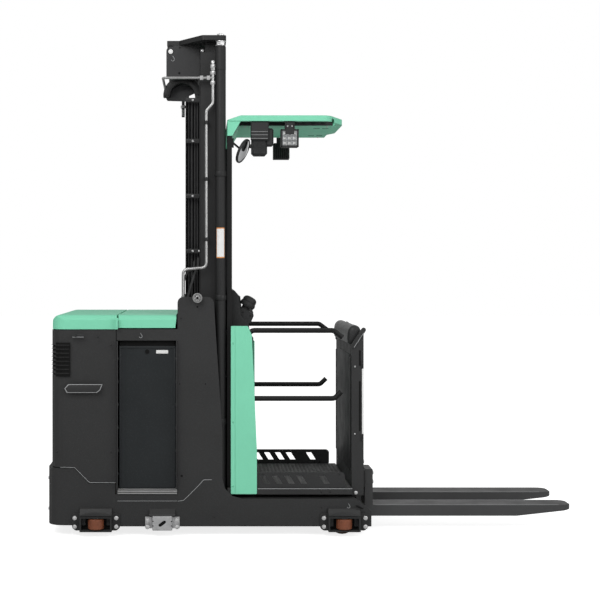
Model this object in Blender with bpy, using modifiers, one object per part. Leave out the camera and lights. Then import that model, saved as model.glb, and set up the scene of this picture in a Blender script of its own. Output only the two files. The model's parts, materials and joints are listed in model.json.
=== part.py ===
"""High-level order picker truck, built in Blender as separate named sub-parts.

Metres, +Z up, +X towards the fork tips, the origin on the floor under the middle of the bounding box.
Lengths along the truck form one chain that starts at the rear face of the skirt.
"""

import math

import bmesh
import bpy
from mathutils import Matrix, Vector

# Gaps
FIT = 0.0003
RUN = 0.0065

# Widths and heights of the whole truck
HALF_WIDTH = 0.450
GROUND = 0.054
MAST_TOP = 2.738

# Chain of lengths, from the rear face forwards
COVER_STEP = 0.020
POWER_UNIT = 0.381
BATTERY_BAY = 0.330
MAST_SET_IN = 0.125
RAIL_DEPTH = 0.140
CABIN_LENGTH = 0.6855
WALL_DEPTH = 0.066
CARRIAGE_T = 0.015
SHANK_T = 0.045
FORK_REACH = 1.162
LEG_PAST_WALL = 0.0345

OVERALL = (POWER_UNIT + BATTERY_BAY + MAST_SET_IN + RAIL_DEPTH + RUN + CABIN_LENGTH + WALL_DEPTH + RUN
           + CARRIAGE_T + FIT + FORK_REACH)
REAR = -OVERALL / 2
SPLIT = REAR + POWER_UNIT
PLATE_BACK = SPLIT + BATTERY_BAY
MAST = PLATE_BACK + MAST_SET_IN
MAST_FRONT = MAST + RAIL_DEPTH
CABIN = MAST_FRONT + RUN
WALL = CABIN + CABIN_LENGTH
WALL_FRONT = WALL + WALL_DEPTH
CARRIAGE = WALL_FRONT + RUN
SHANK = CARRIAGE + CARRIAGE_T + FIT
TIP = SHANK + FORK_REACH
LEG_END = WALL_FRONT + LEG_PAST_WALL

# Chassis
SIDE_T = 0.010
SKIRT_T = 0.008
COVER_T = 0.006
LEG_TOP = 0.2035
LEG_INNER = 0.300
COVER_TOP = 1.1245
HOOD_TOP = 1.207
HOOD_GAP = 0.0015
LID_BOTTOM = 1.136
BULKHEAD_T = 0.008
SEAM_HIGH = 0.371
SEAM_LOW = 0.287
SEAM_GAP = 0.004
SILL_LOW = 0.228
SILL_HIGH = 0.2525
OPENING_TOP = 1.0675
BATTERY_L = 0.310
BATTERY_W = 0.850
BATTERY_TOP = 1.038
HINGE_AHEAD = 0.003
HINGE_Z = 1.2022
HINGE_R = 0.0042
MOUNT_LOW = 0.520
MOUNT_T = 0.020
MOTOR_R = 0.100

# Wheels and guides
DRIVE_R = 0.160
DRIVE_W = 0.100
DRIVE_AT = REAR + 0.205
LOAD_R = 0.075
LOAD_W = 0.082
LOAD_Y = 0.356
AXLE_R = 0.0125
LOAD_AT = LEG_END - 0.153
GUIDE_R = 0.0435
GUIDE_Y = HALF_WIDTH + 0.006
GUIDE_Z = 0.071
GUIDE_H = 0.055
PIN_R = 0.008
GUIDE_X = {"rear": REAR + 0.267, "front": LEG_END - 0.150}
WEAR_AT = REAR + 0.629

# Mast
RAIL_Y = 0.365
RAIL_WEB = 0.015
RAIL_IN = 0.300
INNER_GAP = 0.007
INNER_SIDE = 0.025
INNER_T = 0.013
INNER_IN = 0.262
CYLINDER_R = 0.028
HEAD_R = 0.030
CYLINDER_Y = 0.395
CYLINDER_X = MAST_FRONT - 0.030
ROD_R = 0.018
HOLE_Z = 2.678

# Cabin
FLOOR = 0.258
FLOOR_T = 0.036
CABIN_HALF = 0.434
SKIN_T = 0.006
POST_T = 0.027
POST_OUT = 0.388
ARM_TOP = 0.850
COVER_FRONT = CABIN + 0.162
LAMP_X = CABIN + 0.345
STEER_Y = -0.205
STEER_R = 0.040
HUB_HALF = 0.060
GUARD_TOP = 2.302
GUARD_T = 0.031
GUARD_HALF = 0.400
GATE_R = 0.014
GATE_Y = 0.4085
GATE_TOP = 1.1205
GATE_LOW = 0.7475
GATE_PIVOT_X = CABIN + 0.095
GATE_PIVOT_Z = 1.040
WALL_HALF = 0.388
PAD_INSET = 0.020
WALL_LOW = 0.212
WALL_TOP = 1.040
FORK_OUT = 0.270
FORK_WIDTH = 0.150
FORK_LOW = 0.075
FORK_T = 0.061

PAINTS = {
    "mint": ((0.22, 0.63, 0.43), 0.35, 0.0),
    "dark": ((0.035, 0.037, 0.040), 0.45, 0.2),
    "mast_black": ((0.022, 0.023, 0.025), 0.45, 0.3),
    "battery_paint": ((0.021, 0.026, 0.029), 0.5, 0.1),
    "steel": ((0.62, 0.62, 0.60), 0.35, 0.9),
    "chrome_rod": ((0.75, 0.75, 0.76), 0.12, 1.0),
    "tread": ((0.16, 0.10, 0.06), 0.6, 0.0),
    "roller_orange": ((0.20, 0.065, 0.028), 0.5, 0.0),
    "plastic": ((0.025, 0.026, 0.028), 0.55, 0.0),
}


def remove_everything():
    for item in list(bpy.data.objects):
        bpy.data.objects.remove(item, do_unlink=True)


remove_everything()
PARTS = bpy.data.collections.new("order_picker_truck")
TOOLS = bpy.data.collections.new("cutters")
bpy.context.scene.collection.children.link(PARTS)
bpy.context.scene.collection.children.link(TOOLS)
PIVOTS = {}


def paint(slot):
    """Principled material for one slot of PAINTS."""
    if slot in bpy.data.materials:
        return bpy.data.materials[slot]
    colour, roughness, metallic = PAINTS[slot]
    made = bpy.data.materials.new(slot)
    made.use_nodes = True
    shader = made.node_tree.nodes["Principled BSDF"]
    shader.inputs["Base Color"].default_value = (*colour, 1.0)
    shader.inputs["Roughness"].default_value = roughness
    shader.inputs["Metallic"].default_value = metallic
    return made


def tool(mesh):
    """A hidden helper object: an operand of a Boolean, or a base that becomes a part."""
    item = bpy.data.objects.new("tool", mesh)
    TOOLS.objects.link(item)
    item.hide_render = True
    item.display_type = "WIRE"
    return item


def box(low, high, bevel=0.0):
    """Box between two corners, given in any order on each axis."""
    a = Vector([min(p, q) for p, q in zip(low, high)])
    b = Vector([max(p, q) for p, q in zip(low, high)])
    shape = bmesh.new()
    bmesh.ops.create_cube(shape, size=1.0)
    bmesh.ops.scale(shape, vec=b - a, verts=shape.verts)
    bmesh.ops.translate(shape, vec=(a + b) / 2, verts=shape.verts)
    if bevel:
        bmesh.ops.bevel(shape, geom=shape.edges[:], offset=bevel, segments=1, affect="EDGES", profile=0.5)
    mesh = bpy.data.meshes.new("box")
    shape.to_mesh(mesh)
    shape.free()
    return tool(mesh)


def cylinder(start, end, radius, sides=16):
    """Round bar from one point to another."""
    start = Vector(start)
    end = Vector(end)
    along = end - start
    shape = bmesh.new()
    bmesh.ops.create_cone(shape, cap_ends=True, segments=sides, radius1=radius,
                          radius2=radius, depth=along.length)
    turn = along.to_track_quat("Z", "Y").to_matrix().to_4x4()
    bmesh.ops.transform(shape, matrix=Matrix.Translation((start + end) / 2) @ turn, verts=shape.verts)
    mesh = bpy.data.meshes.new("cylinder")
    shape.to_mesh(mesh)
    shape.free()
    return tool(mesh)


def rounded(corners, steps=3):
    """Closed outline from (u, v, radius) corners, each radius turned into an arc."""
    points = []
    count = len(corners)
    for i, (u, v, radius) in enumerate(corners):
        here = Vector((u, v))
        if radius == 0:
            points.append(here)
            continue
        back = Vector(corners[i - 1][:2]) - here
        ahead = Vector(corners[(i + 1) % count][:2]) - here
        back.normalize()
        ahead.normalize()
        half = math.acos(max(-1.0, min(1.0, back.dot(ahead)))) / 2
        reach = radius / math.tan(half)
        centre = here + (back + ahead).normalized() * (radius / math.sin(half))
        first = here + back * reach - centre
        last = here + ahead * reach - centre
        sweep = first.angle_signed(last)
        for k in range(steps + 1):
            turn = Matrix.Rotation(-sweep * k / steps, 2)
            points.append(centre + turn @ first)
    return points


FACING = {
    "X": Matrix(((0, 0, 1, 0), (1, 0, 0, 0), (0, 1, 0, 0), (0, 0, 0, 1))),
    "Y": Matrix(((1, 0, 0, 0), (0, 0, -1, 0), (0, 1, 0, 0), (0, 0, 0, 1))),
    "Z": Matrix.Identity(4),
}


def mesh_from_curve(item):
    """Turn a curve object into a welded mesh helper, and remove the curve."""
    bpy.context.view_layer.update()
    graph = bpy.context.evaluated_depsgraph_get()
    mesh = bpy.data.meshes.new_from_object(item.evaluated_get(graph))
    shape = bmesh.new()
    shape.from_mesh(mesh)
    bmesh.ops.remove_doubles(shape, verts=shape.verts, dist=0.00001)
    bmesh.ops.recalc_face_normals(shape, faces=shape.faces)
    shape.to_mesh(mesh)
    shape.free()
    made = tool(mesh)
    made.matrix_world = item.matrix_world.copy()
    bpy.data.objects.remove(item, do_unlink=True)
    return made


def plate(corners, low, high, facing, steps=3):
    """Flat outline of (u, v, radius) corners, from low to high along the facing axis."""
    curve = bpy.data.curves.new("outline", "CURVE")
    curve.dimensions = "2D"
    curve.fill_mode = "BOTH"
    curve.extrude = abs(high - low) / 2
    points = rounded(corners, steps)
    spline = curve.splines.new("POLY")
    spline.points.add(len(points) - 1)
    for target, point in zip(spline.points, points):
        target.co = (point.x, point.y, 0.0, 1.0)
    spline.use_cyclic_u = True
    item = bpy.data.objects.new("outline", curve)
    TOOLS.objects.link(item)
    middle = Vector([0.0, 0.0, 0.0])
    middle["XYZ".index(facing)] = (low + high) / 2
    item.matrix_world = Matrix.Translation(middle) @ FACING[facing]
    return mesh_from_curve(item)


def tube(points, radius, bend=0.0, around=2):
    """Round tube along points, its inner corners rounded by the bend radius."""
    route = [Vector(points[0])]
    for before, here, after in zip(points, points[1:], points[2:]):
        here = Vector(here)
        back = (Vector(before) - here).normalized()
        ahead = (Vector(after) - here).normalized()
        half = back.angle(ahead) / 2
        if bend == 0 or half > 1.5:
            route.append(here)
            continue
        reach = bend / math.tan(half)
        centre = here + (back + ahead).normalized() * (bend / math.sin(half))
        first = here + back * reach - centre
        last = here + ahead * reach - centre
        for k in range(5):
            route.append(centre + first.normalized().slerp(last.normalized(), k / 4) * bend)
    route.append(Vector(points[-1]))
    curve = bpy.data.curves.new("route", "CURVE")
    curve.dimensions = "3D"
    curve.bevel_depth = radius
    curve.bevel_resolution = around
    curve.use_fill_caps = True
    spline = curve.splines.new("POLY")
    spline.points.add(len(route) - 1)
    for target, point in zip(spline.points, route):
        target.co = (*point, 1.0)
    item = bpy.data.objects.new("route", curve)
    TOOLS.objects.link(item)
    return mesh_from_curve(item)


def turned(profile, centre, axis, steps=24):
    """Turned solid from (radius, height) pairs that run down its outer side, about an axis."""
    mesh = bpy.data.meshes.new("profile")
    points = [(radius, 0.0, height) for radius, height in profile]
    edges = [(i, i + 1) for i in range(len(points) - 1)]
    if profile[0][0] > 0:
        edges.append((len(points) - 1, 0))
    mesh.from_pydata(points, edges, [])
    item = tool(mesh)
    screw = item.modifiers.new("turn", "SCREW")
    screw.steps = steps
    screw.render_steps = steps
    screw.use_merge_vertices = True
    screw.merge_threshold = 0.0001
    turn = Vector(axis).to_track_quat("Z", "Y").to_matrix().to_4x4()
    item.matrix_world = Matrix.Translation(centre) @ turn
    return item


def part(name, slot, body, base, adds=(), cuts=(), smooth=True):
    """Finish a part: unions first, then cuts, then its paint and its body's empty."""
    TOOLS.objects.unlink(base)
    PARTS.objects.link(base)
    base.name = name
    base.data.name = name
    base.hide_render = False
    base.display_type = "TEXTURED"
    for operation, operands in (("UNION", adds), ("DIFFERENCE", cuts)):
        for other in operands:
            modifier = base.modifiers.new(operation.lower(), "BOOLEAN")
            modifier.operation = operation
            modifier.solver = "EXACT"
            modifier.object = other
    base.data.materials.clear()
    base.data.materials.append(paint(slot))
    if smooth:
        base.data.shade_smooth()
        base.data.set_sharp_from_angle(angle=math.radians(35))
    holder = PIVOTS[body]
    base.parent = holder
    base.matrix_parent_inverse = holder.matrix_world.inverted()
    return base


def pivot(body, place):
    """Empty on a body's joint axis, which its parts hang from."""
    holder = bpy.data.objects.new(f"pivot_{body}", None)
    bpy.context.scene.collection.objects.link(holder)
    holder.location = place
    PIVOTS[body] = holder


SIDES = {"right": -1, "left": 1}


def make_pivots():
    pivot("chassis", (0, 0, 0))
    pivot("battery_lid", (SPLIT + HINGE_AHEAD, 0, HINGE_Z))
    pivot("drive_unit", (DRIVE_AT, 0, MOUNT_LOW))
    pivot("drive_wheel", (DRIVE_AT, 0, DRIVE_R))
    pivot("inner_mast", (MAST, 0, 0))
    pivot("cabin", (CABIN, 0, 0))
    pivot("fork_carriage", (CARRIAGE, 0, 0))
    for side, s in SIDES.items():
        pivot(f"load_wheel_{side}", (LOAD_AT, s * LOAD_Y, LOAD_R))
        pivot(f"gate_{side}", (GATE_PIVOT_X, s * GATE_Y, GATE_PIVOT_Z))
        for end, x in GUIDE_X.items():
            pivot(f"guide_{end}_{side}", (x, s * GUIDE_Y, GUIDE_Z))

def chassis_frame():
    """Two side plates with their legs, joined by bulkheads, floors and the drive unit's mounting plate."""
    inside = HALF_WIDTH - SIDE_T
    back = SPLIT - 0.009
    foot = MAST_FRONT - 0.020
    outline = [
        (back, GROUND, 0), (LEG_END, GROUND, 0), (LEG_END, 0.138, 0.010), (LEG_END - 0.079, LEG_TOP, 0.02),
        (foot, LEG_TOP, 0.11), (foot, 0.56, 0), (foot - 0.035, 1.087, 0), (foot - 0.048, 1.305, 0.035),
        (PLATE_BACK, 1.305, 0.030), (PLATE_BACK, SILL_LOW, 0), (back, SILL_LOW, 0),
    ]
    base = plate(outline, inside, HALF_WIDTH, "Y")
    adds = [plate(outline, -HALF_WIDTH, -inside, "Y")]
    reach = inside + 0.001
    # low x, high x, low z, high z of walls that span between the side plates
    spans = (
        (SPLIT - 0.006, SPLIT + BULKHEAD_T - 0.006, GROUND + 0.02, COVER_TOP),
        (PLATE_BACK + 0.004, PLATE_BACK + 0.014, GROUND + 0.02, 1.195),
        (SPLIT - 0.001, PLATE_BACK + 0.005, 0.150, 0.165),
        (PLATE_BACK + 0.013, MAST_FRONT + 0.010, 0.075, 0.100),
    )
    for x0, x1, z0, z1 in spans:
        adds.append(box((x0, -reach, z0), (x1, reach, z1)))
    # drive unit mounting plate with its side gussets
    shelf = inside - 0.012
    adds.append(box((REAR + 0.070, -shelf, MOUNT_LOW), (SPLIT - 0.005, shelf, MOUNT_LOW + MOUNT_T)))
    for s in SIDES.values():
        adds.append(box((REAR + 0.095, s * (shelf - 0.012), 0.300), (SPLIT - 0.004, s * shelf, MOUNT_LOW + 0.001)))
        # top rail above the battery opening
        adds.append(box((SPLIT - HOOD_GAP + 0.0005, s * HALF_WIDTH, OPENING_TOP),
                        (PLATE_BACK + 0.001, s * (inside - 0.002), LID_BOTTOM - RUN)))
        # leg top plate, inner plate, front cap and wheel axle
        adds.append(box((MAST_FRONT + 0.003, s * LEG_INNER, LEG_TOP - 0.010), (LEG_END - 0.085, s * reach, LEG_TOP)))
        adds.append(box((MAST_FRONT + 0.004, s * LEG_INNER, GROUND + 0.005),
                        (LEG_END - 0.085, s * (LEG_INNER + 0.008), LEG_TOP - 0.001)))
        adds.append(box((LEG_END - 0.020, s * LEG_INNER, GROUND + 0.005), (LEG_END - 0.012, s * reach, 0.135)))
        adds.append(box((LEG_END - 0.086, s * LEG_INNER, GROUND + 0.005), (LEG_END - 0.013, s * (LEG_INNER + 0.008), 0.135)))
        hanger = GUIDE_Y - GUIDE_R - 0.0055
        adds.append(box((LOAD_AT - 0.030, s * (hanger - 0.0045), LOAD_R - 0.020),
                        (LOAD_AT + 0.030, s * hanger, LEG_TOP - 0.002)))
        adds.append(cylinder((LOAD_AT, s * (LEG_INNER + 0.004), LOAD_R),
                             (LOAD_AT, s * (hanger - 0.001), LOAD_R), AXLE_R))
        # sloped hood over the wear block
        hood = [(HALF_WIDTH - 0.003, 0.116, 0), (HALF_WIDTH + 0.030, 0.116, 0), (HALF_WIDTH + 0.026, 0.126, 0),
                (HALF_WIDTH - 0.003, 0.152, 0)]
        adds.append(plate([(s * y, z, r) for y, z, r in hood], WEAR_AT - 0.070, WEAR_AT + 0.070, "X"))
    cuts = [cylinder((DRIVE_AT, 0, MOUNT_LOW - 0.05), (DRIVE_AT, 0, MOUNT_LOW + 0.08), MOTOR_R + RUN, 32)]
    for s in SIDES.values():
        x = GUIDE_X["front"]
        cuts.append(box((x - GUIDE_R - 0.014, s * (HALF_WIDTH + 0.02), 0.0),
                        (x + GUIDE_R + 0.014, s * (hanger + 0.0002), GUIDE_Z + GUIDE_H / 2 + 0.012)))
    part("chassis_frame", "dark", "chassis", base, adds, cuts)


def seam(offset, edge):
    """Side outline of what lies between the seam of cover and skirt, raised by an offset, and a level edge."""
    low = SEAM_LOW + offset
    high = SEAM_HIGH + offset
    return [(REAR - 0.1, high, 0), (REAR + 0.147, high, 0), (REAR + 0.229, low, 0), (SPLIT + 0.1, low, 0),
            (SPLIT + 0.1, edge, 0), (REAR - 0.1, edge, 0)]


def u_shell(back, front, radius, wall, rear_wall, low, high):
    """Wall that runs round the rear of the truck, open at the front, and its inner cutter."""
    outer = plate([(back, -HALF_WIDTH, radius), (front, -HALF_WIDTH, 0), (front, HALF_WIDTH, 0),
                   (back, HALF_WIDTH, radius)], low, high, "Z", 4)
    inner_half = HALF_WIDTH - wall
    inner = plate([(back + rear_wall, -inner_half, radius), (front + 0.1, -inner_half, 0),
                   (front + 0.1, inner_half, 0), (back + rear_wall, inner_half, radius)],
                  low - 0.1, high + 0.1, "Z", 4)
    return outer, inner


def rear_covers():
    front = SPLIT - 0.006 - FIT
    outer, inner = u_shell(REAR + COVER_STEP, front, 0.070, COVER_T, COVER_T, SEAM_LOW + SEAM_GAP / 2, COVER_TOP)
    below = plate(seam(SEAM_GAP, 0.1), -1.0, 1.0, "Y")
    cuts = [inner, below]
    for k in range(8):
        z = 0.8795 + 0.0218 * k
        for s in SIDES.values():
            cuts.append(box((REAR - 0.01, s * 0.37, z), (REAR + 0.125, s * 0.47, z + 0.011)))
    part("rear_cover", "dark", "chassis", outer, cuts=cuts)
    outer, inner = u_shell(REAR, SPLIT - 0.009 - FIT, 0.085, SKIRT_T, 0.030, 0.060, SEAM_HIGH)
    cuts = [inner, plate(seam(0.0, 1.5), -1.0, 1.0, "Y")]
    for s in SIDES.values():
        x = GUIDE_X["rear"]
        cuts.append(box((x - GUIDE_R - 0.014, s * (HALF_WIDTH + 0.02), 0.0),
                        (x + GUIDE_R + 0.014, s * (HALF_WIDTH - 0.05), GUIDE_Z + GUIDE_H / 2 + 0.012)))
    part("rear_skirt", "dark", "chassis", outer, cuts=cuts)


def hoods():
    """Motor hood and battery cover: inverted trays with a rounded rim."""
    low = COVER_TOP + 0.004
    back = REAR + COVER_STEP + 0.002
    front = SPLIT - HOOD_GAP
    side = [(back, low, 0), (front, low, 0), (front, HOOD_TOP, 0), (back + 0.030, HOOD_TOP, 0.045),
            (back + 0.004, low + 0.053, 0.026)]
    plan = [(back, -HALF_WIDTH, 0.070), (front, -HALF_WIDTH, 0), (front, HALF_WIDTH, 0), (back, HALF_WIDTH, 0.070)]
    base = plate(side, -HALF_WIDTH, HALF_WIDTH, "Y")
    trim = plate([(HALF_WIDTH, low - 0.02, 0), (HALF_WIDTH, HOOD_TOP, 0.028), (-HALF_WIDTH, HOOD_TOP, 0.028),
                  (-HALF_WIDTH, low - 0.02, 0)], back - 0.1, front + 0.1, "X")
    outline = plate(plan, low - 0.1, HOOD_TOP + 0.1, "Z", 6)
    item = part("motor_hood", "mint", "chassis", base)
    for other in (trim, outline):
        modifier = item.modifiers.new("shape", "BOOLEAN")
        modifier.operation = "INTERSECT"
        modifier.object = other
    inner = box((back + 0.030, -HALF_WIDTH + 0.030, low - 0.1), (front - 0.008, HALF_WIDTH - 0.030, HOOD_TOP - 0.016))
    modifier = item.modifiers.new("hollow", "BOOLEAN")
    modifier.operation = "DIFFERENCE"
    modifier.object = inner
    start = SPLIT + HINGE_AHEAD * 2 + HOOD_GAP
    end = PLATE_BACK - RUN
    rim = [(HALF_WIDTH, LID_BOTTOM, 0), (HALF_WIDTH, HOOD_TOP, 0.028), (-HALF_WIDTH, HOOD_TOP, 0.028),
           (-HALF_WIDTH, LID_BOTTOM, 0)]
    base = plate(rim, start, end, "X")
    adds = []
    for s in SIDES.values():
        adds.append(cylinder((SPLIT + HINGE_AHEAD, s * 0.24, HINGE_Z),
                             (SPLIT + HINGE_AHEAD, s * 0.36, HINGE_Z), HINGE_R, 16))
        adds.append(box((SPLIT + HINGE_AHEAD, s * 0.24, HINGE_Z - 0.002),
                        (start + 0.006, s * 0.36, HINGE_Z + 0.002)))
    inner = box((start + 0.008, -HALF_WIDTH + 0.012, LID_BOTTOM - 0.1),
                (end - 0.014, HALF_WIDTH - 0.012, HOOD_TOP - 0.010))
    # the lower front edge is set back to swing past the side plates
    swing = plate([(end - 0.0065, LID_BOTTOM - 0.005, 0), (end + 0.005, LID_BOTTOM - 0.005, 0),
                   (end + 0.005, HOOD_TOP - 0.020, 0), (end - 0.0001, HOOD_TOP - 0.020, 0)],
                  -HALF_WIDTH - 0.01, HALF_WIDTH + 0.01, "Y")
    part("battery_cover", "mint", "battery_lid", base, adds, [inner, swing])

def battery():
    mid = (SPLIT + PLATE_BACK) / 2 + 0.001
    low = SILL_HIGH + 0.003
    base = box((mid - BATTERY_L / 2, -BATTERY_W / 2, low + FIT),
               (mid + BATTERY_L / 2, BATTERY_W / 2, BATTERY_TOP), 0.004)
    part("battery", "battery_paint", "chassis", base)
    x0 = SPLIT + 0.003
    x1 = PLATE_BACK - 0.003
    base = box((x0, -BATTERY_W / 2 - 0.004, 0.165 + FIT), (x1, BATTERY_W / 2 + 0.004, low))
    adds = [box((x0, s * BATTERY_W / 2, SILL_LOW + 0.003), (x1, s * (HALF_WIDTH + 0.002), SILL_HIGH))
            for s in SIDES.values()]
    part("battery_bed", "steel", "chassis", base, adds)


def drive():
    """Steered drive unit with its motor, and the drive wheel."""
    top = MOUNT_LOW - RUN
    leg = DRIVE_W / 2 + 0.015
    base = cylinder((DRIVE_AT, 0, top - 0.03), (DRIVE_AT, 0, top), 0.120, 32)
    adds = [
        cylinder((DRIVE_AT, 0, top - 0.01), (DRIVE_AT, 0, 0.86), MOTOR_R, 32),
        box((DRIVE_AT - 0.055, leg, DRIVE_R - 0.06), (DRIVE_AT + 0.055, leg + 0.055, top - 0.02), 0.012),
        cylinder((DRIVE_AT, leg + 0.01, DRIVE_R), (DRIVE_AT, -DRIVE_W / 2 + 0.004, DRIVE_R), 0.030),
    ]
    part("drive_unit", "plastic", "drive_unit", base, adds)
    r = DRIVE_R
    w = DRIVE_W / 2
    profile = [(0.0306, w), (r - 0.008, w), (r, w - 0.010), (r, -w + 0.010), (r - 0.008, -w), (0.0306, -w)]
    part("drive_wheel", "tread", "drive_wheel", turned(profile, (DRIVE_AT, 0, r), (0, 1, 0), 32))


def load_wheels():
    r = LOAD_R
    w = LOAD_W / 2
    bore = AXLE_R + FIT
    profile = [(bore, w), (r - 0.006, w), (r, w - 0.006), (r, -w + 0.006), (r - 0.006, -w), (bore, -w)]
    for side, s in SIDES.items():
        wheel = turned(profile, (LOAD_AT, s * LOAD_Y, r), (0, 1, 0))
        part(f"load_wheel_{side}", "tread", f"load_wheel_{side}", wheel)


def guides():
    """Four guide rollers on vertical pins, each in a bulging housing, and the two wear blocks."""
    for side, s in SIDES.items():
        face = HALF_WIDTH + FIT
        for end, x in GUIDE_X.items():
            low = GUIDE_Z - GUIDE_H / 2 - 0.0055
            high = GUIDE_Z + GUIDE_H / 2 + 0.0055
            foot = low - 0.005
            flange = [(x - 0.130, foot + 0.014, 0.01), (x - 0.112, foot, 0.01), (x + 0.112, foot, 0.01),
                      (x + 0.130, foot + 0.014, 0.01), (x + 0.130, 0.127, 0.01), (x - 0.130, 0.127, 0.01)]
            base = plate(flange, s * face, s * (face + 0.006), "Y", 1)
            bulge = [(face + 0.001, low - 0.008, 0), (HALF_WIDTH + 0.036, low - 0.008, 0),
                     (HALF_WIDTH + 0.036, high + 0.008, 0), (HALF_WIDTH + 0.014, 0.152, 0), (face + 0.001, 0.156, 0)]
            adds = [plate([(s * y, z, r) for y, z, r in bulge], x - 0.087, x + 0.087, "X")]
            pocket = box((x - 0.079, s * (HALF_WIDTH - 0.02), low), (x + 0.079, s * (HALF_WIDTH + 0.06), high))
            pin = cylinder((x, s * GUIDE_Y, low - 0.004), (x, s * GUIDE_Y, high + 0.004), PIN_R, 16)
            item = part(f"guide_housing_{end}_{side}", "dark", "chassis", base, adds, [pocket])
            modifier = item.modifiers.new("pin", "BOOLEAN")
            modifier.operation = "UNION"
            modifier.object = pin
            r = GUIDE_R
            h = GUIDE_H / 2
            bore = PIN_R + FIT
            profile = [(bore, h), (r - 0.004, h), (r, h - 0.004), (r, -h + 0.004), (r - 0.004, -h), (bore, -h)]
            roller = turned(profile, (x, s * GUIDE_Y, GUIDE_Z), (0, 0, 1), 20)
            part(f"guide_roller_{end}_{side}", "roller_orange", f"guide_{end}_{side}", roller)
        block = box((WEAR_AT - 0.054, s * face, 0.038), (WEAR_AT + 0.054, s * (HALF_WIDTH + 0.034), 0.1157), 0.003)
        lug = box((WEAR_AT - 0.094, s * face, 0.045), (WEAR_AT + 0.094, s * (HALF_WIDTH + 0.008), 0.108), 0.002)
        part(f"wear_block_{side}", "steel", "chassis", block, [lug])


def channel(x0, x1, web_y, tip_y, web, flange, z0, z1):
    """Upright U channel, its web outside and its flanges pointing at the middle of the truck."""
    s = 1 if web_y > 0 else -1
    corners = [(x0, web_y, 0), (x1, web_y, 0), (x1, tip_y, 0), (x1 - flange, tip_y, 0),
               (x1 - flange, web_y - s * web, 0), (x0 + flange, web_y - s * web, 0),
               (x0 + flange, tip_y, 0), (x0, tip_y, 0)]
    return plate(corners, z0, z1, "Z")


def masts():
    """Outer mast, lift cylinders, and the inner mast with its crosshead, head box, hose guide and rods."""
    foot = 0.100 + FIT
    top = MAST_TOP - 0.026 - FIT
    rails = [channel(MAST, MAST_FRONT, s * RAIL_Y, s * RAIL_IN, RAIL_WEB, RAIL_WEB, foot, 2.655)
             for s in SIDES.values()]
    adds = [rails[1]]
    for z0, z1 in ((0.15, 0.45), (1.20, 1.40), (2.25, 2.45)):
        adds.append(box((MAST + 0.0005, -RAIL_IN - 0.01, z0), (MAST + RAIL_WEB - 0.0005, RAIL_IN + 0.01, z1)))
    part("outer_mast", "mast_black", "chassis", rails[0], adds)
    x0 = MAST + INNER_SIDE
    x1 = MAST_FRONT - INNER_SIDE
    web_y = RAIL_Y - RAIL_WEB - INNER_GAP
    rails = [channel(x0, x1, s * web_y, s * INNER_IN, INNER_T, INNER_T, 0.125, top) for s in SIDES.values()]
    adds = [rails[1]]
    for z0, z1 in ((0.20, 0.35), (1.30, 1.45), (2.45, 2.60)):
        adds.append(box((x0 + 0.0005, -INNER_IN - 0.01, z0), (x0 + INNER_T - 0.0005, INNER_IN + 0.01, z1)))
    part("inner_mast", "mast_black", "inner_mast", rails[0], adds)
    head = MAST_TOP - 0.026
    front = MAST_FRONT + 0.001
    outline = [(MAST - 0.188, -0.258, 0.01), (MAST - 0.12, -0.258, 0), (MAST + 0.01, -0.425, 0.02),
               (front, -0.425, 0.02), (front, 0.425, 0.02), (MAST + 0.01, 0.425, 0.02),
               (MAST - 0.12, 0.258, 0), (MAST - 0.188, 0.258, 0.01)]
    part("crosshead", "mast_black", "inner_mast", plate(outline, head, MAST_TOP, "Z"))
    arch_x = MAST - 0.103
    arch_r = 0.095
    bar_z = 2.545
    arch_z = bar_z - 0.010 - arch_r - FIT
    box_back = MAST - 0.192
    box_front = MAST - 0.007
    side = [(box_back, 2.530, 0.006), (box_front, 2.530, 0), (box_front, head - FIT, 0),
            (box_back + 0.040, head - FIT, 0), (box_back + 0.040, head - 0.008, 0),
            (box_back, head - 0.008, 0.022)]
    base = plate(side, -0.258, -0.250, "Y")
    adds = [
        plate(side, 0.250, 0.258, "Y"),
        box((box_front - 0.010, -0.251, 2.535), (box_front - 0.001, 0.251, head - 0.001)),
        box((box_back + 0.045, -0.251, head - 0.012), (box_front - 0.005, 0.251, head - 0.001)),
        cylinder((arch_x, 0.06, 2.35), (arch_x, 0.06, head - 0.005), 0.009),
        cylinder((arch_x, -0.251, bar_z), (arch_x, 0.251, bar_z), 0.010),
    ]
    cuts = [cylinder((box_back + 0.024, -0.4, HOLE_Z), (box_back + 0.024, 0.4, HOLE_Z), 0.0135, 20)]
    part("head_box", "mast_black", "inner_mast", base, adds, cuts)
    arch = [(arch_r, 0.040), (arch_r, -0.040), (arch_r - 0.018, -0.040), (arch_r - 0.018, 0.040)]
    guide = turned(arch, (arch_x, -0.150, arch_z), (0, 1, 0))
    below = box((arch_x - 0.2, -0.4, 2.2), (arch_x + 0.2, 0.2, arch_z))
    part("hose_guide", "plastic", "inner_mast", guide, cuts=[below])
    for side, s in SIDES.items():
        y = s * CYLINDER_Y
        base = cylinder((CYLINDER_X, y, foot), (CYLINDER_X, y, 2.552), CYLINDER_R)
        adds = [cylinder((CYLINDER_X, y, 2.550), (CYLINDER_X, y, 2.672), HEAD_R)]
        cuts = [cylinder((CYLINDER_X, y, 0.20), (CYLINDER_X, y, 2.8), ROD_R + 0.0008)]
        part(f"lift_cylinder_{side}", "mast_black", "chassis", base, adds, cuts)
        rod = cylinder((CYLINDER_X, y, 0.30), (CYLINDER_X, y, head - FIT), ROD_R)
        nut = cylinder((CYLINDER_X, y, 2.686), (CYLINDER_X, y, head - 0.004), 0.024, 6)
        part(f"lift_rod_{side}", "chrome_rod", "inner_mast", rod, [nut])


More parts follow.
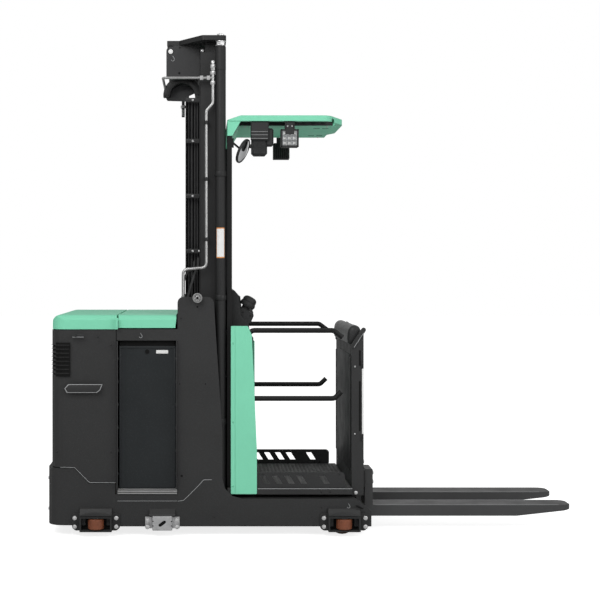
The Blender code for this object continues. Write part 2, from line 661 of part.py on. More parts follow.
def mast_fittings():
    """Cable trough on the right, and the hydraulic pipe that loops behind the mast between the cylinders."""
    x0 = MAST - 0.083
    x1 = MAST - FIT
    base = box((x0, -0.360, 1.00), (x1, -0.280, 2.414))
    hollow = box((x0 + 0.004, -0.370, 1.30), (x1 - 0.006, -0.286, 2.50))
    part("cable_trough", "mast_black", "chassis", base, cuts=[hollow])
    r = 0.008
    x = CYLINDER_X - 0.042
    y = 0.415
    port = 2.590
    loop = MAST - 0.206
    route = [(x, -y, port), (x, -y, 2.365), (x - 0.036, -y, 2.325), (x - 0.036, -y, 1.466),
             (PLATE_BACK + 0.030, -y, 1.455), (PLATE_BACK + 0.030, -y, 1.0)]
    across = [(x + 0.003, -y - 0.001, 2.505), (loop, -y - 0.001, 2.505), (loop, y, 2.505), (x, y, 2.505), (x, y, port)]
    base = tube(route, r, 0.026)
    adds = [tube(across, r - 0.0007, 0.022)]
    for s in SIDES.values():
        adds.append(cylinder((x, s * (y - 0.008), port - 0.012),
                             (CYLINDER_X - HEAD_R - FIT, s * (y - 0.008), port - 0.012), 0.0065, 12))
        adds.append(cylinder((x, s * y, port - 0.045), (x, s * y, port - 0.025), 0.0125, 6))
    part("hydraulic_pipe", "steel", "chassis", base, adds)


def cabin_frame():
    """Carriage arms with rollers inside the inner mast, back plate and the two uprights."""
    arm_x = MAST + INNER_SIDE + INNER_T + 0.012
    channel_x = MAST + RAIL_DEPTH / 2
    base = box((CABIN, -POST_OUT, FLOOR + 0.002), (CABIN + POST_T, POST_OUT, 1.09))
    adds = []
    for s in SIDES.values():
        adds.append(box((arm_x, s * 0.235, 0.290), (CABIN + 0.002, s * (INNER_IN - 0.007), ARM_TOP)))
        adds.append(box((CABIN, s * 0.330, 1.05), (CABIN + POST_T, s * POST_OUT, 2.190)))
        for z in (0.340, ARM_TOP - 0.040):
            adds.append(cylinder((channel_x, s * 0.250, z), (channel_x, s * 0.323, z), 0.012, 16))
            adds.append(cylinder((channel_x, s * 0.270, z), (channel_x, s * 0.322, z), 0.0255))
    part("cabin_frame", "mast_black", "cabin", base, adds)


def platform():
    half = CABIN_HALF - SKIN_T - FIT
    base = box((CABIN, -half, FLOOR - FLOOR_T), (WALL - FIT, half, FLOOR), 0.003)
    part("platform", "dark", "cabin", base)

def console():
    low = FLOOR + FIT
    back = CABIN + POST_T + FIT
    base = box((back, -0.385, low), (COVER_FRONT - 0.017, 0.385, 1.085), 0.006)
    adds = []
    for s in SIDES.values():
        adds.append(cylinder((GATE_PIVOT_X, s * 0.380, GATE_PIVOT_Z),
                             (GATE_PIVOT_X, s * 0.4215, GATE_PIVOT_Z), 0.010, 16))
        for z in (0.36, 0.66):
            adds.append(cylinder((back + 0.030, s * 0.380, z),
                                 (back + 0.030, s * (CABIN_HALF - SKIN_T - FIT), z), 0.012, 16))
    part("console_body", "plastic", "cabin", base, adds)
    right = COVER_FRONT
    side = [(CABIN + 0.020, 0.227, 0.004), (right, 0.227, 0.004), (right, 0.47, 0), (right - 0.027, 1.095, 0),
            (right - 0.050, 1.146, 0), (CABIN + 0.020, 1.146, 0.004)]
    for name, s in SIDES.items():
        skin = plate(side, s * CABIN_HALF, s * (CABIN_HALF - SKIN_T), "Y")
        lip = box((COVER_FRONT - 0.0165, s * 0.300, 0.262), (COVER_FRONT - 0.0105, s * 0.388, 1.06))
        web = box((COVER_FRONT - 0.0160, s * 0.386, 0.263),
                  (COVER_FRONT - 0.0110, s * (CABIN_HALF - 0.001), 0.690))
        part(f"console_cover_{name}", "mint", "cabin", skin, [lip, web])
    panel = [(back, 1.0853, 0), (COVER_FRONT - 0.030, 1.0853, 0.01), (COVER_FRONT - 0.040, 1.150, 0.01),
             (back + 0.052, 1.200, 0), (back + 0.040, 1.310, 0.012), (back + 0.014, 1.340, 0.012), (back, 1.340, 0)]
    base = plate(panel, -0.300, 0.300, "Y")
    part("control_panel", "plastic", "cabin", base)
    # steering hub on the desk: a block that carries the thick disc and its knob
    y = STEER_Y
    low_end = Vector((COVER_FRONT - 0.040, y, 1.150))
    high_end = Vector((back + 0.052, y, 1.200))
    slope = (high_end - low_end).normalized()
    lift = Vector((slope.z, 0, -slope.x)) * FIT
    nose = Vector((COVER_FRONT - 0.0066, y, 1.2031))
    crest = Vector((back + 0.0476, y, 1.248))
    hub = [(low_end.x + lift.x, low_end.z + lift.z, 0), (COVER_FRONT - 0.0256, 1.158, 0.006), (nose.x, nose.z, 0.014),
           (crest.x, crest.z, 0.010), (high_end.x + lift.x, high_end.z + lift.z, 0)]
    base = plate(hub, y - HUB_HALF, y + HUB_HALF, "Y")
    along = (crest - nose).normalized()
    out = Vector((along.z, 0, -along.x))
    seat = (nose + crest) / 2 + along * 0.012 - out * 0.002
    disc = seat + out * 0.018
    knob = disc + out * 0.028 + along * 0.014
    adds = [cylinder(seat, disc + out * 0.002, 0.024), cylinder(disc, disc + out * 0.030, STEER_R, 24),
            cylinder(knob, knob + out * 0.026, 0.015)]
    part("steering_disc", "plastic", "cabin", base, adds)

def guard():
    """Overhead guard, its tray, and what hangs below it."""
    back = CABIN + 0.001
    front = CABIN + 0.6555
    low = GUARD_TOP - GUARD_T
    plan = [(back, -GUARD_HALF, 0.02), (front - 0.095, -GUARD_HALF, 0.06), (front, -0.20, 0.10),
            (front, 0.20, 0.10), (front - 0.095, GUARD_HALF, 0.06), (back, GUARD_HALF, 0.02)]
    base = plate(plan, low, GUARD_TOP, "Z")
    tray = box((back + 0.040, -0.300, low - 0.015), (front - 0.053, 0.300, low + 0.001))
    flange = plate([(back, 2.190 + FIT, 0), (back + POST_T, 2.190 + FIT, 0), (back + 0.075, low + 0.001, 0),
                    (back, low + 0.001, 0)], -0.395, 0.395, "Y")
    slope = plate([(back - 0.1, GUARD_TOP - 0.058, 0), (back + 0.075, GUARD_TOP, 0), (back + 0.075, GUARD_TOP + 0.1, 0),
                   (back - 0.1, GUARD_TOP + 0.1, 0)], -1.0, 1.0, "Y")
    cuts = [slope]
    for s in SIDES.values():
        cuts.append(box((back + 0.060, s * 0.300, low - 0.02), (front - 0.060, s * 0.360, GUARD_TOP - 0.012)))
    part("overhead_guard", "mint", "cabin", base, [tray, flange], cuts)
    under = low - FIT
    for side, s in SIDES.items():
        base = box((LAMP_X - 0.050, s * 0.335, 2.128), (LAMP_X + 0.050, s * 0.385, 2.228), 0.006)
        strap = box((LAMP_X - 0.024, s * 0.362, 2.20), (LAMP_X + 0.024, s * 0.392, under))
        part(f"side_lamp_{side}", "plastic", "cabin", base, [strap])
    fan_x = CABIN + 0.182
    base = box((fan_x - 0.048, -0.375, 2.082), (fan_x + 0.040, -0.310, 2.190), 0.014)
    adds = [box((fan_x - 0.052, -0.390, 2.165), (fan_x + 0.048, -0.362, under), 0.006),
            box((fan_x + 0.030, -0.372, 2.135), (fan_x + 0.075, -0.325, 2.235), 0.010)]
    part("roof_fan", "plastic", "cabin", base, adds)
    mirror_at = Vector((CABIN + 0.084, -0.330, 2.115))
    facing = Vector((0.86, -0.30, -0.42)).normalized()
    base = cylinder(mirror_at, mirror_at + facing * 0.010, 0.070, 28)
    foot = CABIN + POST_T + FIT
    stay = cylinder(mirror_at, (foot + 0.008, -0.345, 2.155), 0.006, 12)
    pad = box((foot, -0.365, 2.130), (foot + 0.010, -0.335, 2.180))
    part("mirror", "plastic", "cabin", base, [stay, pad])


def kick_plates():
    """Low plates along the platform's sides, each with a row of slanted slots."""
    y = 0.418
    end = CABIN + 0.6445
    for side, s in SIDES.items():
        outline = [(COVER_FRONT + 0.004, FLOOR + FIT, 0), (end, FLOOR + FIT, 0.008), (end, 0.345, 0.020),
                   (COVER_FRONT + 0.004, 0.345, 0.004)]
        base = plate(outline, s * (y - 0.0025), s * (y + 0.0025), "Y")
        cuts = []
        for k in range(5):
            x = COVER_FRONT + 0.012 + 0.067 * k + (0.058 if k > 3 else 0.0)
            slot = [(x + 0.030, 0.282, 0), (x + 0.062, 0.282, 0), (x + 0.034, 0.326, 0), (x + 0.002, 0.326, 0)]
            cuts.append(plate(slot, s * (y - 0.02), s * (y + 0.02), "Y"))
        part(f"kick_plate_{side}", "dark", "cabin", base, cuts=cuts)


def load_wall():
    """Wall between the platform and the forks, with the fork mast in it and a pad on top."""
    cheek = [(WALL, WALL_LOW, 0), (WALL_FRONT, WALL_LOW, 0), (WALL_FRONT, 1.133, 0.008),
             (WALL_FRONT - 0.006, 1.133, 0.004), (WALL, WALL_TOP, 0.010)]
    base = box((WALL, -WALL_HALF, WALL_LOW), (WALL + 0.010, WALL_HALF, WALL_TOP))
    adds = [plate(cheek, s * WALL_HALF, s * (WALL_HALF - 0.012), "Y") for s in SIDES.values()]
    adds.append(box((WALL + 0.002, -WALL_HALF + 0.002, WALL_LOW + 0.0005),
                    (WALL_FRONT - 0.0005, WALL_HALF - 0.002, WALL_LOW + 0.012)))
    for s in SIDES.values():
        adds.append(box((WALL + 0.002, s * (WALL_HALF - 0.002), WALL_LOW + 0.005),
                        (WALL_FRONT - 0.010, s * (WALL_HALF - 0.060), 1.030)))
    part("load_wall", "dark", "cabin", base, adds)
    rails = []
    for s in SIDES.values():
        rails.append(channel(WALL + 0.010 + FIT, WALL_FRONT, s * 0.290, s * 0.235, 0.008, 0.008,
                             WALL_LOW + 0.012 + FIT, WALL_TOP - 0.001))
    adds = [rails[1]]
    adds.append(box((WALL + 0.0108, -0.289, WALL_TOP - 0.050), (WALL + 0.018, 0.289, WALL_TOP - 0.005)))
    adds.append(box((WALL + 0.0108, -0.289, 0.240), (WALL + 0.018, 0.289, 0.300)))
    adds.append(cylinder((WALL + 0.035, 0, 0.226), (WALL + 0.035, 0, WALL_TOP - 0.050), 0.018))
    adds.append(box((WALL + 0.012, -0.030, 0.245), (WALL + 0.030, 0.030, 0.280)))
    part("fork_mast", "mast_black", "cabin", rails[0], adds)
    pad = [(WALL - 0.018, WALL_TOP + FIT, 0.004), (WALL + 0.046, WALL_TOP + FIT, 0), (WALL + 0.060, 1.095, 0.02),
           (WALL + 0.046, 1.152, 0.030), (WALL, 1.146, 0.034), (WALL - 0.020, 1.090, 0.02)]
    part("backrest_pad", "plastic", "cabin", plate(pad, PAD_INSET - WALL_HALF, WALL_HALF - PAD_INSET, "Y"))


def forks():
    """Fork carriage with its stub rollers in the fork mast, and two forks."""
    base = box((CARRIAGE, -0.300, 0.240), (CARRIAGE + CARRIAGE_T, 0.300, 0.335), 0.003)
    adds = []
    for s in SIDES.values():
        adds.append(box((WALL + 0.030, s * 0.215, 0.245), (CARRIAGE + 0.002, s * 0.229, 0.330)))
        adds.append(cylinder((WALL + 0.0385, s * 0.222, 0.290), (WALL + 0.0385, s * 0.276, 0.290), 0.0130, 20))
    part("fork_carriage", "mast_black", "fork_carriage", base, adds)
    for side, s in SIDES.items():
        top = FORK_LOW + FORK_T
        outline = [(SHANK, FORK_LOW, 0.006), (TIP - 0.310, FORK_LOW, 0), (TIP, FORK_LOW + 0.034, 0.010),
                   (TIP, top, 0.010), (SHANK + SHANK_T, top, 0.008), (SHANK + SHANK_T, 0.337, 0.006),
                   (SHANK, 0.337, 0.004)]
        inner = s * (FORK_OUT - FORK_WIDTH)
        outer = s * FORK_OUT
        item = part(f"fork_{side}", "mast_black", "fork_carriage", plate(outline, inner, outer, "Y"))
        plan = [(SHANK - 0.1, inner, 0), (TIP, inner, 0.060), (TIP, outer, 0.060), (SHANK - 0.1, outer, 0)]
        shape = plate(plan, -0.1, 0.6, "Z", 6)
        modifier = item.modifiers.new("tip", "BOOLEAN")
        modifier.operation = "INTERSECT"
        modifier.object = shape


def gates():
    """Side gates: bent tubes, open towards the forks, each on a pin of the console."""
    back = GATE_PIVOT_X
    end = CABIN + 0.633
    for side, s in SIDES.items():
        y = s * GATE_Y
        route = [(end, y, GATE_TOP - 0.038), (end - 0.050, y, GATE_TOP), (back + 0.040, y, GATE_TOP),
                 (back, y, GATE_TOP - 0.050), (back, y, GATE_LOW + 0.050), (back + 0.045, y, GATE_LOW),
                 (end - 0.045, y, GATE_LOW), (end - 0.008, y, GATE_LOW + 0.036)]
        base = tube(route, GATE_R, 0.030)
        boss = cylinder((back, s * (GATE_Y - GATE_R), GATE_PIVOT_Z),
                        (back, s * (GATE_Y + GATE_R), GATE_PIVOT_Z), 0.022, 20)
        bore = cylinder((back, s * (GATE_Y - 0.04), GATE_PIVOT_Z),
                        (back, s * (GATE_Y + 0.04), GATE_PIVOT_Z), 0.0104, 16)
        part(f"gate_{side}", "mast_black", f"gate_{side}", base, [boss], [bore])


make_pivots()
chassis_frame()
rear_covers()
hoods()
battery()
drive()
load_wheels()
guides()
masts()
mast_fittings()
cabin_frame()
platform()
console()
guard()
kick_plates()
load_wall()
forks()
gates()
bpy.context.view_layer.update()
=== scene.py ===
"""Looks of the order picker truck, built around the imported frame. Metres, +X towards the forks, +Z up."""
import json
import math

import bmesh
import bpy
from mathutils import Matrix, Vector


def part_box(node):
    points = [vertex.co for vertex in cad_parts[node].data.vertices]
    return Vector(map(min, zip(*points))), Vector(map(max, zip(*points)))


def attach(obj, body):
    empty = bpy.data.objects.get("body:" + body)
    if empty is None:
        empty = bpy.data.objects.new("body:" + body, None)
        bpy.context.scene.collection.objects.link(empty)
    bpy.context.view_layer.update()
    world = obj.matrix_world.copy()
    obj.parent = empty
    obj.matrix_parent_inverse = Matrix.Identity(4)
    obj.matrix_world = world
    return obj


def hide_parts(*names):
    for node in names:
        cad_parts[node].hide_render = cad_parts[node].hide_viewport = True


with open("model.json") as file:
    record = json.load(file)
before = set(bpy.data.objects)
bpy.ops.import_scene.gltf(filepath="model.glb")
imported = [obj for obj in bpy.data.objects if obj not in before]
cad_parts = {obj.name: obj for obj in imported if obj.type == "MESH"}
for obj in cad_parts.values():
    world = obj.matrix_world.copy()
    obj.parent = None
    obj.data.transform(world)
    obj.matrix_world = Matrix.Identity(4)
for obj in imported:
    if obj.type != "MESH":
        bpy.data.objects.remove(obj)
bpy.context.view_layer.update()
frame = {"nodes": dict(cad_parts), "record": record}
NODES = frame["nodes"]
SIDES = {"right": -1, "left": 1}
UP = (0, 0, 1)
REARWARD = (-1, 0, 0)


def box_of(node):
    low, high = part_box(node)
    return Vector(low), Vector(high)


# places taken from the CAD nodes
COVER = box_of("rear_cover")
SKIRT = box_of("rear_skirt")
BATTERY = box_of("battery")
BED = box_of("battery_bed")
TROUGH = box_of("cable_trough")
OUTER = box_of("outer_mast")
INNER = box_of("inner_mast")
HEADBOX = box_of("head_box")
ARCH = box_of("hose_guide")
GUARD = box_of("overhead_guard")
FAN = box_of("roof_fan")
SKIN = box_of("console_cover_right")
CONSOLE = box_of("console_body")
PLATFORM = box_of("platform")
KICK = box_of("kick_plate_right")
WALL = box_of("load_wall")
PAD = box_of("backrest_pad")
HALF = box_of("chassis_frame")[1].y
SPLIT = BED[0].x - 0.003
PLATE_BACK = BED[1].x + 0.003
MAST_BACK = OUTER[0].x
# places and angles that several pieces share
CYLINDER_X = box_of("lift_cylinder_right")[0].x + 0.030
CYLINDER_Y = 0.395
PIPE_X = CYLINDER_X - 0.042
PIPE_Y = -0.415
HOLE_Z = 2.678
OPENING_TOP = 1.066
GUARD_SHEET = 0.031
CABIN_BACK = -0.4764
POST_FRONT = CABIN_BACK + 0.0273
STEER_Y = -0.205
SLOT_SLANT = 0.62
RIB_SLANT = 0.785
NEARLY_STRAIGHT = 1.53
ARCH_X = (ARCH[0].x + ARCH[1].x) / 2
ARCH_R = (ARCH[1].x - ARCH[0].x) / 2
ARCH_Z = ARCH[0].z

# camera of the photograph: level, square to the truck's side
CAMERA_AT = (-0.598, -6.97, 1.452)
FOCAL_PX = 1196.0
FRAME_PX = 600.0
AXIS_PX = (205.0, 270.0)


def place(px, py, y=-HALF):
    """Point on the plane at depth y that shows at pixel px, py."""
    scale = (y - CAMERA_AT[1]) / FOCAL_PX
    return Vector((CAMERA_AT[0] + (px - AXIS_PX[0]) * scale, y, CAMERA_AT[2] - (py - AXIS_PX[1]) * scale))


def on_plate(px, py, s, lift=0.0):
    """The same on the chassis side plate of either side, raised by lift."""
    p = place(px, py)
    return Vector((p.x, s * (HALF + lift), p.z))


def rows(start, step, count):
    return [start + step * k for k in range(count)]


# materials
class Graph:
    """Small helper around one material's node tree."""

    def __init__(self, name):
        self.material = bpy.data.materials.new(name)
        self.material.use_nodes = True
        self.tree = self.material.node_tree
        self.shader = self.tree.nodes["Principled BSDF"]
        self.coord = self.tree.nodes.new("ShaderNodeTexCoord").outputs["Object"]

    def node(self, kind, **settings):
        made = self.tree.nodes.new(kind)
        for key, value in settings.items():
            setattr(made, key, value)
        return made

    def link(self, a, b):
        self.tree.links.new(a, b)

    def noise(self, scale, detail=3.0, roughness=0.55, stretch=(1, 1, 1)):
        source = self.coord
        if stretch != (1, 1, 1):
            mapping = self.node("ShaderNodeMapping")
            mapping.inputs["Scale"].default_value = stretch
            self.link(source, mapping.inputs["Vector"])
            source = mapping.outputs["Vector"]
        made = self.node("ShaderNodeTexNoise")
        made.inputs["Scale"].default_value = scale
        made.inputs["Detail"].default_value = detail
        made.inputs["Roughness"].default_value = roughness
        self.link(source, made.inputs["Vector"])
        return made.outputs["Fac"]

    def range(self, value, low, high, out_low, out_high):
        made = self.node("ShaderNodeMapRange")
        made.clamp = True
        for key, number in (("From Min", low), ("From Max", high), ("To Min", out_low), ("To Max", out_high)):
            made.inputs[key].default_value = number
        self.link(value, made.inputs["Value"])
        return made.outputs["Result"]

    def math(self, operation, a, b):
        made = self.node("ShaderNodeMath", operation=operation)
        for socket, value in zip(made.inputs, (a, b)):
            if isinstance(value, (int, float)):
                socket.default_value = value
            else:
                self.link(value, socket)
        return made.outputs[0]

    def mix(self, fac, a, b):
        made = self.node("ShaderNodeMix", data_type="RGBA")
        for socket, value in ((made.inputs[0], fac), (made.inputs[6], a), (made.inputs[7], b)):
            if isinstance(value, tuple):
                socket.default_value = (*value, 1.0)
            elif isinstance(value, (int, float)):
                socket.default_value = value
            else:
                self.link(value, socket)
        return made.outputs[2]


SLOT_OF = {}


def finish_of(name, slot, colour, roughness, metallic=0.0, tone=0.08, tone_scale=2.5, grain=0.15,
              grain_scale=700.0, depth=0.0002, stretch=(1, 1, 1), dust=0.0, edge=0.0, edge_colour=None,
              radius=0.0012, rough_spread=0.08, specular=0.5, coat=0.0, coat_rough=0.1, speckle=0.0,
              sheen=0.0):
    """Painted, plated or moulded surface: tone drift, grain, dust that lies on upward faces, worn edges."""
    g = Graph(name)
    shader = g.shader
    drift = g.noise(tone_scale, 5.0, 0.6)
    dark = tuple(c * (1 - tone) for c in colour)
    light = tuple(min(1.0, c * (1 + tone)) for c in colour)
    shade = g.mix(g.range(drift, 0.3, 0.7, 0.0, 1.0), dark, light)
    fine = g.noise(grain_scale, 2.0, 0.5, stretch)
    if speckle:
        spots = g.range(g.noise(grain_scale * 0.6, 1.0, 0.4), 0.58, 0.68, 0.0, speckle)
        shade = g.mix(spots, shade, tuple(min(1.0, c * 2.2 + 0.01) for c in colour))
    bevel = g.node("ShaderNodeBevel", samples=4)
    bevel.inputs["Radius"].default_value = radius
    geometry = g.node("ShaderNodeNewGeometry")
    if edge:
        dot = g.node("ShaderNodeVectorMath", operation="DOT_PRODUCT")
        g.link(bevel.outputs["Normal"], dot.inputs[0])
        g.link(geometry.outputs["Normal"], dot.inputs[1])
        rim = g.range(dot.outputs["Value"], 0.995, 0.90, 0.0, 1.0)
        broken = g.range(g.noise(38.0, 4.0, 0.7), 0.40, 0.62, 0.15, 1.0)
        worn = g.math("MULTIPLY", g.math("MULTIPLY", rim, broken), edge)
        shade = g.mix(worn, shade, edge_colour or tuple(min(1.0, c * 1.9 + 0.02) for c in colour))
    if dust:
        split = g.node("ShaderNodeSeparateXYZ")
        g.link(geometry.outputs["Normal"], split.inputs[0])
        up = g.range(split.outputs["Z"], 0.35, 0.95, 0.0, 1.0)
        lies = g.math("MULTIPLY", up, g.range(g.noise(9.0, 6.0, 0.65), 0.35, 0.75, 0.25, 1.0))
        shade = g.mix(g.math("MULTIPLY", lies, dust), shade, (0.34, 0.33, 0.31))
    g.link(shade, shader.inputs["Base Color"])
    spread = g.range(g.noise(tone_scale * 4.0, 4.0, 0.6), 0.3, 0.7, roughness - rough_spread,
                     roughness + rough_spread)
    g.link(spread, shader.inputs["Roughness"])
    bump = g.node("ShaderNodeBump")
    bump.inputs["Strength"].default_value = grain
    bump.inputs["Distance"].default_value = depth
    g.link(fine, bump.inputs["Height"])
    g.link(bevel.outputs["Normal"], bump.inputs["Normal"])
    g.link(bump.outputs["Normal"], shader.inputs["Normal"])
    for key, value in (("Metallic", metallic), ("Specular IOR Level", specular), ("Coat Weight", coat),
                       ("Coat Roughness", coat_rough), ("Sheen Weight", sheen)):
        shader.inputs[key].default_value = value
    SLOT_OF[g.material.name] = slot
    return g.material


MINT = finish_of("mint_paint", "mint", (0.208, 0.63, 0.425), 0.50, tone=0.03, grain=0.10, grain_scale=420.0,
                 depth=0.0003, dust=0.02, edge=0.25, edge_colour=(0.42, 0.74, 0.60), radius=0.0025,
                 specular=0.16)
DARK = finish_of("dark_powder_coat", "dark", (0.0235, 0.0237, 0.024), 0.55, tone=0.10, grain=0.55,
                 grain_scale=850.0, depth=0.00035, dust=0.06, edge=0.45, radius=0.0016, specular=0.28,
                 speckle=0.35)
BLACK = finish_of("mast_paint", "mast_black", (0.0140, 0.0142, 0.0145), 0.50, tone=0.14, tone_scale=1.6,
                  grain=0.25, grain_scale=500.0, depth=0.00025, dust=0.05, edge=0.40, radius=0.0014,
                  specular=0.30, stretch=(1, 1, 0.35))
ENAMEL = finish_of("battery_enamel", "battery_paint", (0.0135, 0.0160, 0.0175), 0.48, tone=0.10, grain=0.30,
                   grain_scale=300.0, depth=0.0003, dust=0.08, edge=0.5, radius=0.0018, specular=0.25,
                   speckle=0.15)
ZINC = finish_of("zinc_plate", "steel", (0.34, 0.34, 0.338), 0.40, metallic=0.75, tone=0.18, tone_scale=22.0,
                 grain=0.30, grain_scale=260.0, stretch=(0.15, 1, 1), edge=0.2, radius=0.001,
                 rough_spread=0.12)
BOLT = finish_of("bolt_zinc", "steel", (0.60, 0.60, 0.60), 0.32, metallic=0.7, tone=0.12, tone_scale=60.0,
                 grain=0.2, grain_scale=900.0, depth=0.0001, radius=0.0006, rough_spread=0.1)
CHROME = finish_of("rod_chrome", "chrome_rod", (0.62, 0.62, 0.63), 0.12, metallic=1.0, tone=0.05,
                   tone_scale=8.0,
                   grain=0.06, grain_scale=1200.0, depth=0.00005, radius=0.0004, rough_spread=0.04)
TREAD = finish_of("wheel_tread", "tread", (0.13, 0.075, 0.045), 0.62, tone=0.16, tone_scale=18.0, grain=0.5,
                  grain_scale=420.0, depth=0.0004, edge=0.3, edge_colour=(0.10, 0.09, 0.08), radius=0.003,
                  specular=0.3)
ORANGE = finish_of("roller_tyre", "roller_orange", (0.185, 0.058, 0.027), 0.5, tone=0.16, tone_scale=30.0,
                   grain=0.35, grain_scale=480.0, depth=0.0003, edge=0.3, edge_colour=(0.17, 0.08, 0.05),
                   radius=0.002, specular=0.35)
MOULDED = finish_of("moulded_plastic", "plastic", (0.021, 0.0215, 0.022), 0.55, tone=0.06, grain=0.6,
                    grain_scale=1100.0, depth=0.0003, dust=0.05, edge=0.2, specular=0.30)
RUBBER = finish_of("hose_rubber", "plastic", (0.022, 0.022, 0.0225), 0.60, tone=0.10, tone_scale=14.0,
                   grain=0.45,
                   grain_scale=900.0, dust=0.08, radius=0.0006, specular=0.35)
VINYL = finish_of("pad_vinyl", "plastic", (0.017, 0.017, 0.0175), 0.50, tone_scale=12.0, grain=0.7,
                  grain_scale=380.0, depth=0.0005, dust=0.04, radius=0.001, specular=0.35, sheen=0.10)
MAT = finish_of("floor_rubber", "plastic", (0.072, 0.0722, 0.0726), 0.66, tone=0.12, tone_scale=9.0,
                grain=0.5,
                grain_scale=600.0, depth=0.0004, dust=0.14, edge=0.35, radius=0.0008, specular=0.25)
GREY = finish_of("grey_plate", "steel", (0.30, 0.305, 0.31), 0.42, grain=0.2, grain_scale=500.0, edge=0.3,
                 radius=0.001, specular=0.4)
GREY_PAINT = finish_of("grey_paint", "dark", (0.075, 0.076, 0.078), 0.5, tone=0.1, grain=0.3,
                       grain_scale=500.0,
                       edge=0.3, radius=0.001, specular=0.3)
WHITE = finish_of("blank_label", "steel", (0.74, 0.74, 0.73), 0.40, tone=0.04, tone_scale=30.0, grain=0.05,
                  grain_scale=300.0, depth=0.0001, radius=0.0002, specular=0.4)
AMBER = finish_of("label_edge", "steel", (0.62, 0.24, 0.06), 0.45, tone=0.06, tone_scale=30.0, grain=0.05,
                  radius=0.0002)
RED = finish_of("stop_button", "plastic", (0.42, 0.020, 0.014), 0.35, tone=0.05, grain=0.1, radius=0.001,
                coat=0.3)
CELL = finish_of("cell_lid", "plastic", (0.10, 0.105, 0.11), 0.5, grain=0.3, grain_scale=500.0, radius=0.001)
YELLOW = finish_of("cell_cap", "plastic", (0.62, 0.47, 0.08), 0.5, tone=0.06, grain=0.2, radius=0.001)
GLASS = finish_of("mirror_glass", "chrome_rod", (0.80, 0.81, 0.82), 0.04, metallic=1.0, tone=0.02, grain=0.01,
                  depth=0.00002, radius=0.0002, rough_spread=0.015)
REFLECTOR = finish_of("lamp_reflector", "steel", (0.30, 0.305, 0.31), 0.32, metallic=0.6, tone=0.10,
                      tone_scale=40.0, grain=0.1, grain_scale=500.0, radius=0.0004, rough_spread=0.06)
SCREEN = finish_of("display_glass", "plastic", (0.012, 0.014, 0.016), 0.10, tone=0.2, tone_scale=6.0,
                   grain=0.01,
                   radius=0.0005, coat=0.5, coat_rough=0.03, rough_spread=0.03)
LED = finish_of("lamp_led", "steel", (0.55, 0.55, 0.52), 0.25, tone=0.10, tone_scale=120.0, grain=0.05,
                radius=0.0002)
POST = finish_of("post_paint", "mast_black", (0.0065, 0.0065, 0.0067), 0.5, tone=0.14, grain=0.25,
                 grain_scale=500.0, edge=0.3, specular=0.22, dust=0.03)
HEAD = finish_of("head_paint", "mast_black", (0.0265, 0.0267, 0.0275), 0.50, tone=0.12, grain=0.35,
                 grain_scale=600.0, dust=0.05, edge=0.45, radius=0.0014, specular=0.30)
FORK_PAINT = finish_of("fork_paint", "mast_black", (0.044, 0.0444, 0.045), 0.48, tone=0.12, grain=0.35,
                       grain_scale=600.0, dust=0.05, edge=0.45, radius=0.0014, specular=0.34)
BRIGHT = finish_of("cast_zinc", "steel", (0.46, 0.46, 0.464), 0.42, metallic=0.55, tone=0.16, tone_scale=30.0,
                   grain=0.4, grain_scale=420.0, edge=0.2, radius=0.001, rough_spread=0.1)
# painted shade: a near-black flat colour laid where slots, holes, grooves and gaps would lie in shade
SHADOW = finish_of("painted_shade", "plastic", (0.008, 0.008, 0.008), 0.8, tone=0.1, grain=0.2, specular=0.1)

SLOT_FINISH = {"mint": MINT, "dark": DARK, "mast_black": BLACK, "battery_paint": ENAMEL, "steel": ZINC,
               "chrome_rod": CHROME, "tread": TREAD, "roller_orange": ORANGE, "plastic": MOULDED}
NODE_FINISH = {"cabin_frame": POST, "gate_left": POST, "gate_right": POST, "head_box": HEAD,
               "fork_left": FORK_PAINT, "fork_right": FORK_PAINT,
               "wear_block_left": BRIGHT, "wear_block_right": BRIGHT, "lift_rod_left": BOLT,
               "lift_rod_right": BOLT}
NODE_SLOT = {row["node"]: row["material_slot"] for row in frame["record"]["subparts"]}
for node_name, node_object in NODES.items():
    finish = NODE_FINISH.get(node_name, SLOT_FINISH[NODE_SLOT[node_name]])
    if not node_object.material_slots:
        node_object.data.materials.append(finish)
    for held in node_object.material_slots:
        held.material = finish


# mesh helpers
def form(add):
    """Let a mesh function be called without its mesh: the form waits until a piece hands one over."""
    return lambda *args, **settings: lambda bm: add(bm, *args, **settings)


@form
def box(bm, low, high, bevel=0.0, segments=2):
    """Box between two corners with rounded edges."""
    a = Vector([min(p, q) for p, q in zip(low, high)])
    b = Vector([max(p, q) for p, q in zip(low, high)])
    made = bmesh.ops.create_cube(bm, size=1.0)["verts"]
    bmesh.ops.scale(bm, vec=b - a, verts=made)
    bmesh.ops.translate(bm, vec=(a + b) / 2, verts=made)
    if bevel:
        edges = list(dict.fromkeys(e for v in made for e in v.link_edges))
        bmesh.ops.bevel(bm, geom=edges, offset=bevel, segments=segments, affect="EDGES", profile=0.5)


@form
def lathe(bm, profile, at, axis, steps=20, turn=0.0):
    """Turned form from (radius, height) pairs; a radius of 0 closes an end."""
    turned = Vector(axis).to_track_quat("Z", "Y").to_matrix()
    at = Vector(at)
    rings = []
    for radius, height in profile:
        if radius < 1e-7:
            rings.append([bm.verts.new(at + turned @ Vector((0, 0, height)))])
            continue
        angles = [turn + 2 * math.pi * k / steps for k in range(steps)]
        rings.append([bm.verts.new(at + turned @ Vector((radius * math.cos(a), radius * math.sin(a), height)))
                      for a in angles])
    for low, high in zip(rings, rings[1:]):
        for k in range(steps):
            n = (k + 1) % steps
            if len(low) == 1 and len(high) == 1:
                continue
            if len(low) == 1:
                bm.faces.new((low[0], high[k], high[n]))
            elif len(high) == 1:
                bm.faces.new((low[k], high[0], low[n]))
            else:
                bm.faces.new((low[k], high[k], high[n], low[n]))


def ring(inner, outer, low, high):
    """Profile of a flat ring."""
    return [(inner, low), (outer, low), (outer, high), (inner, high)]


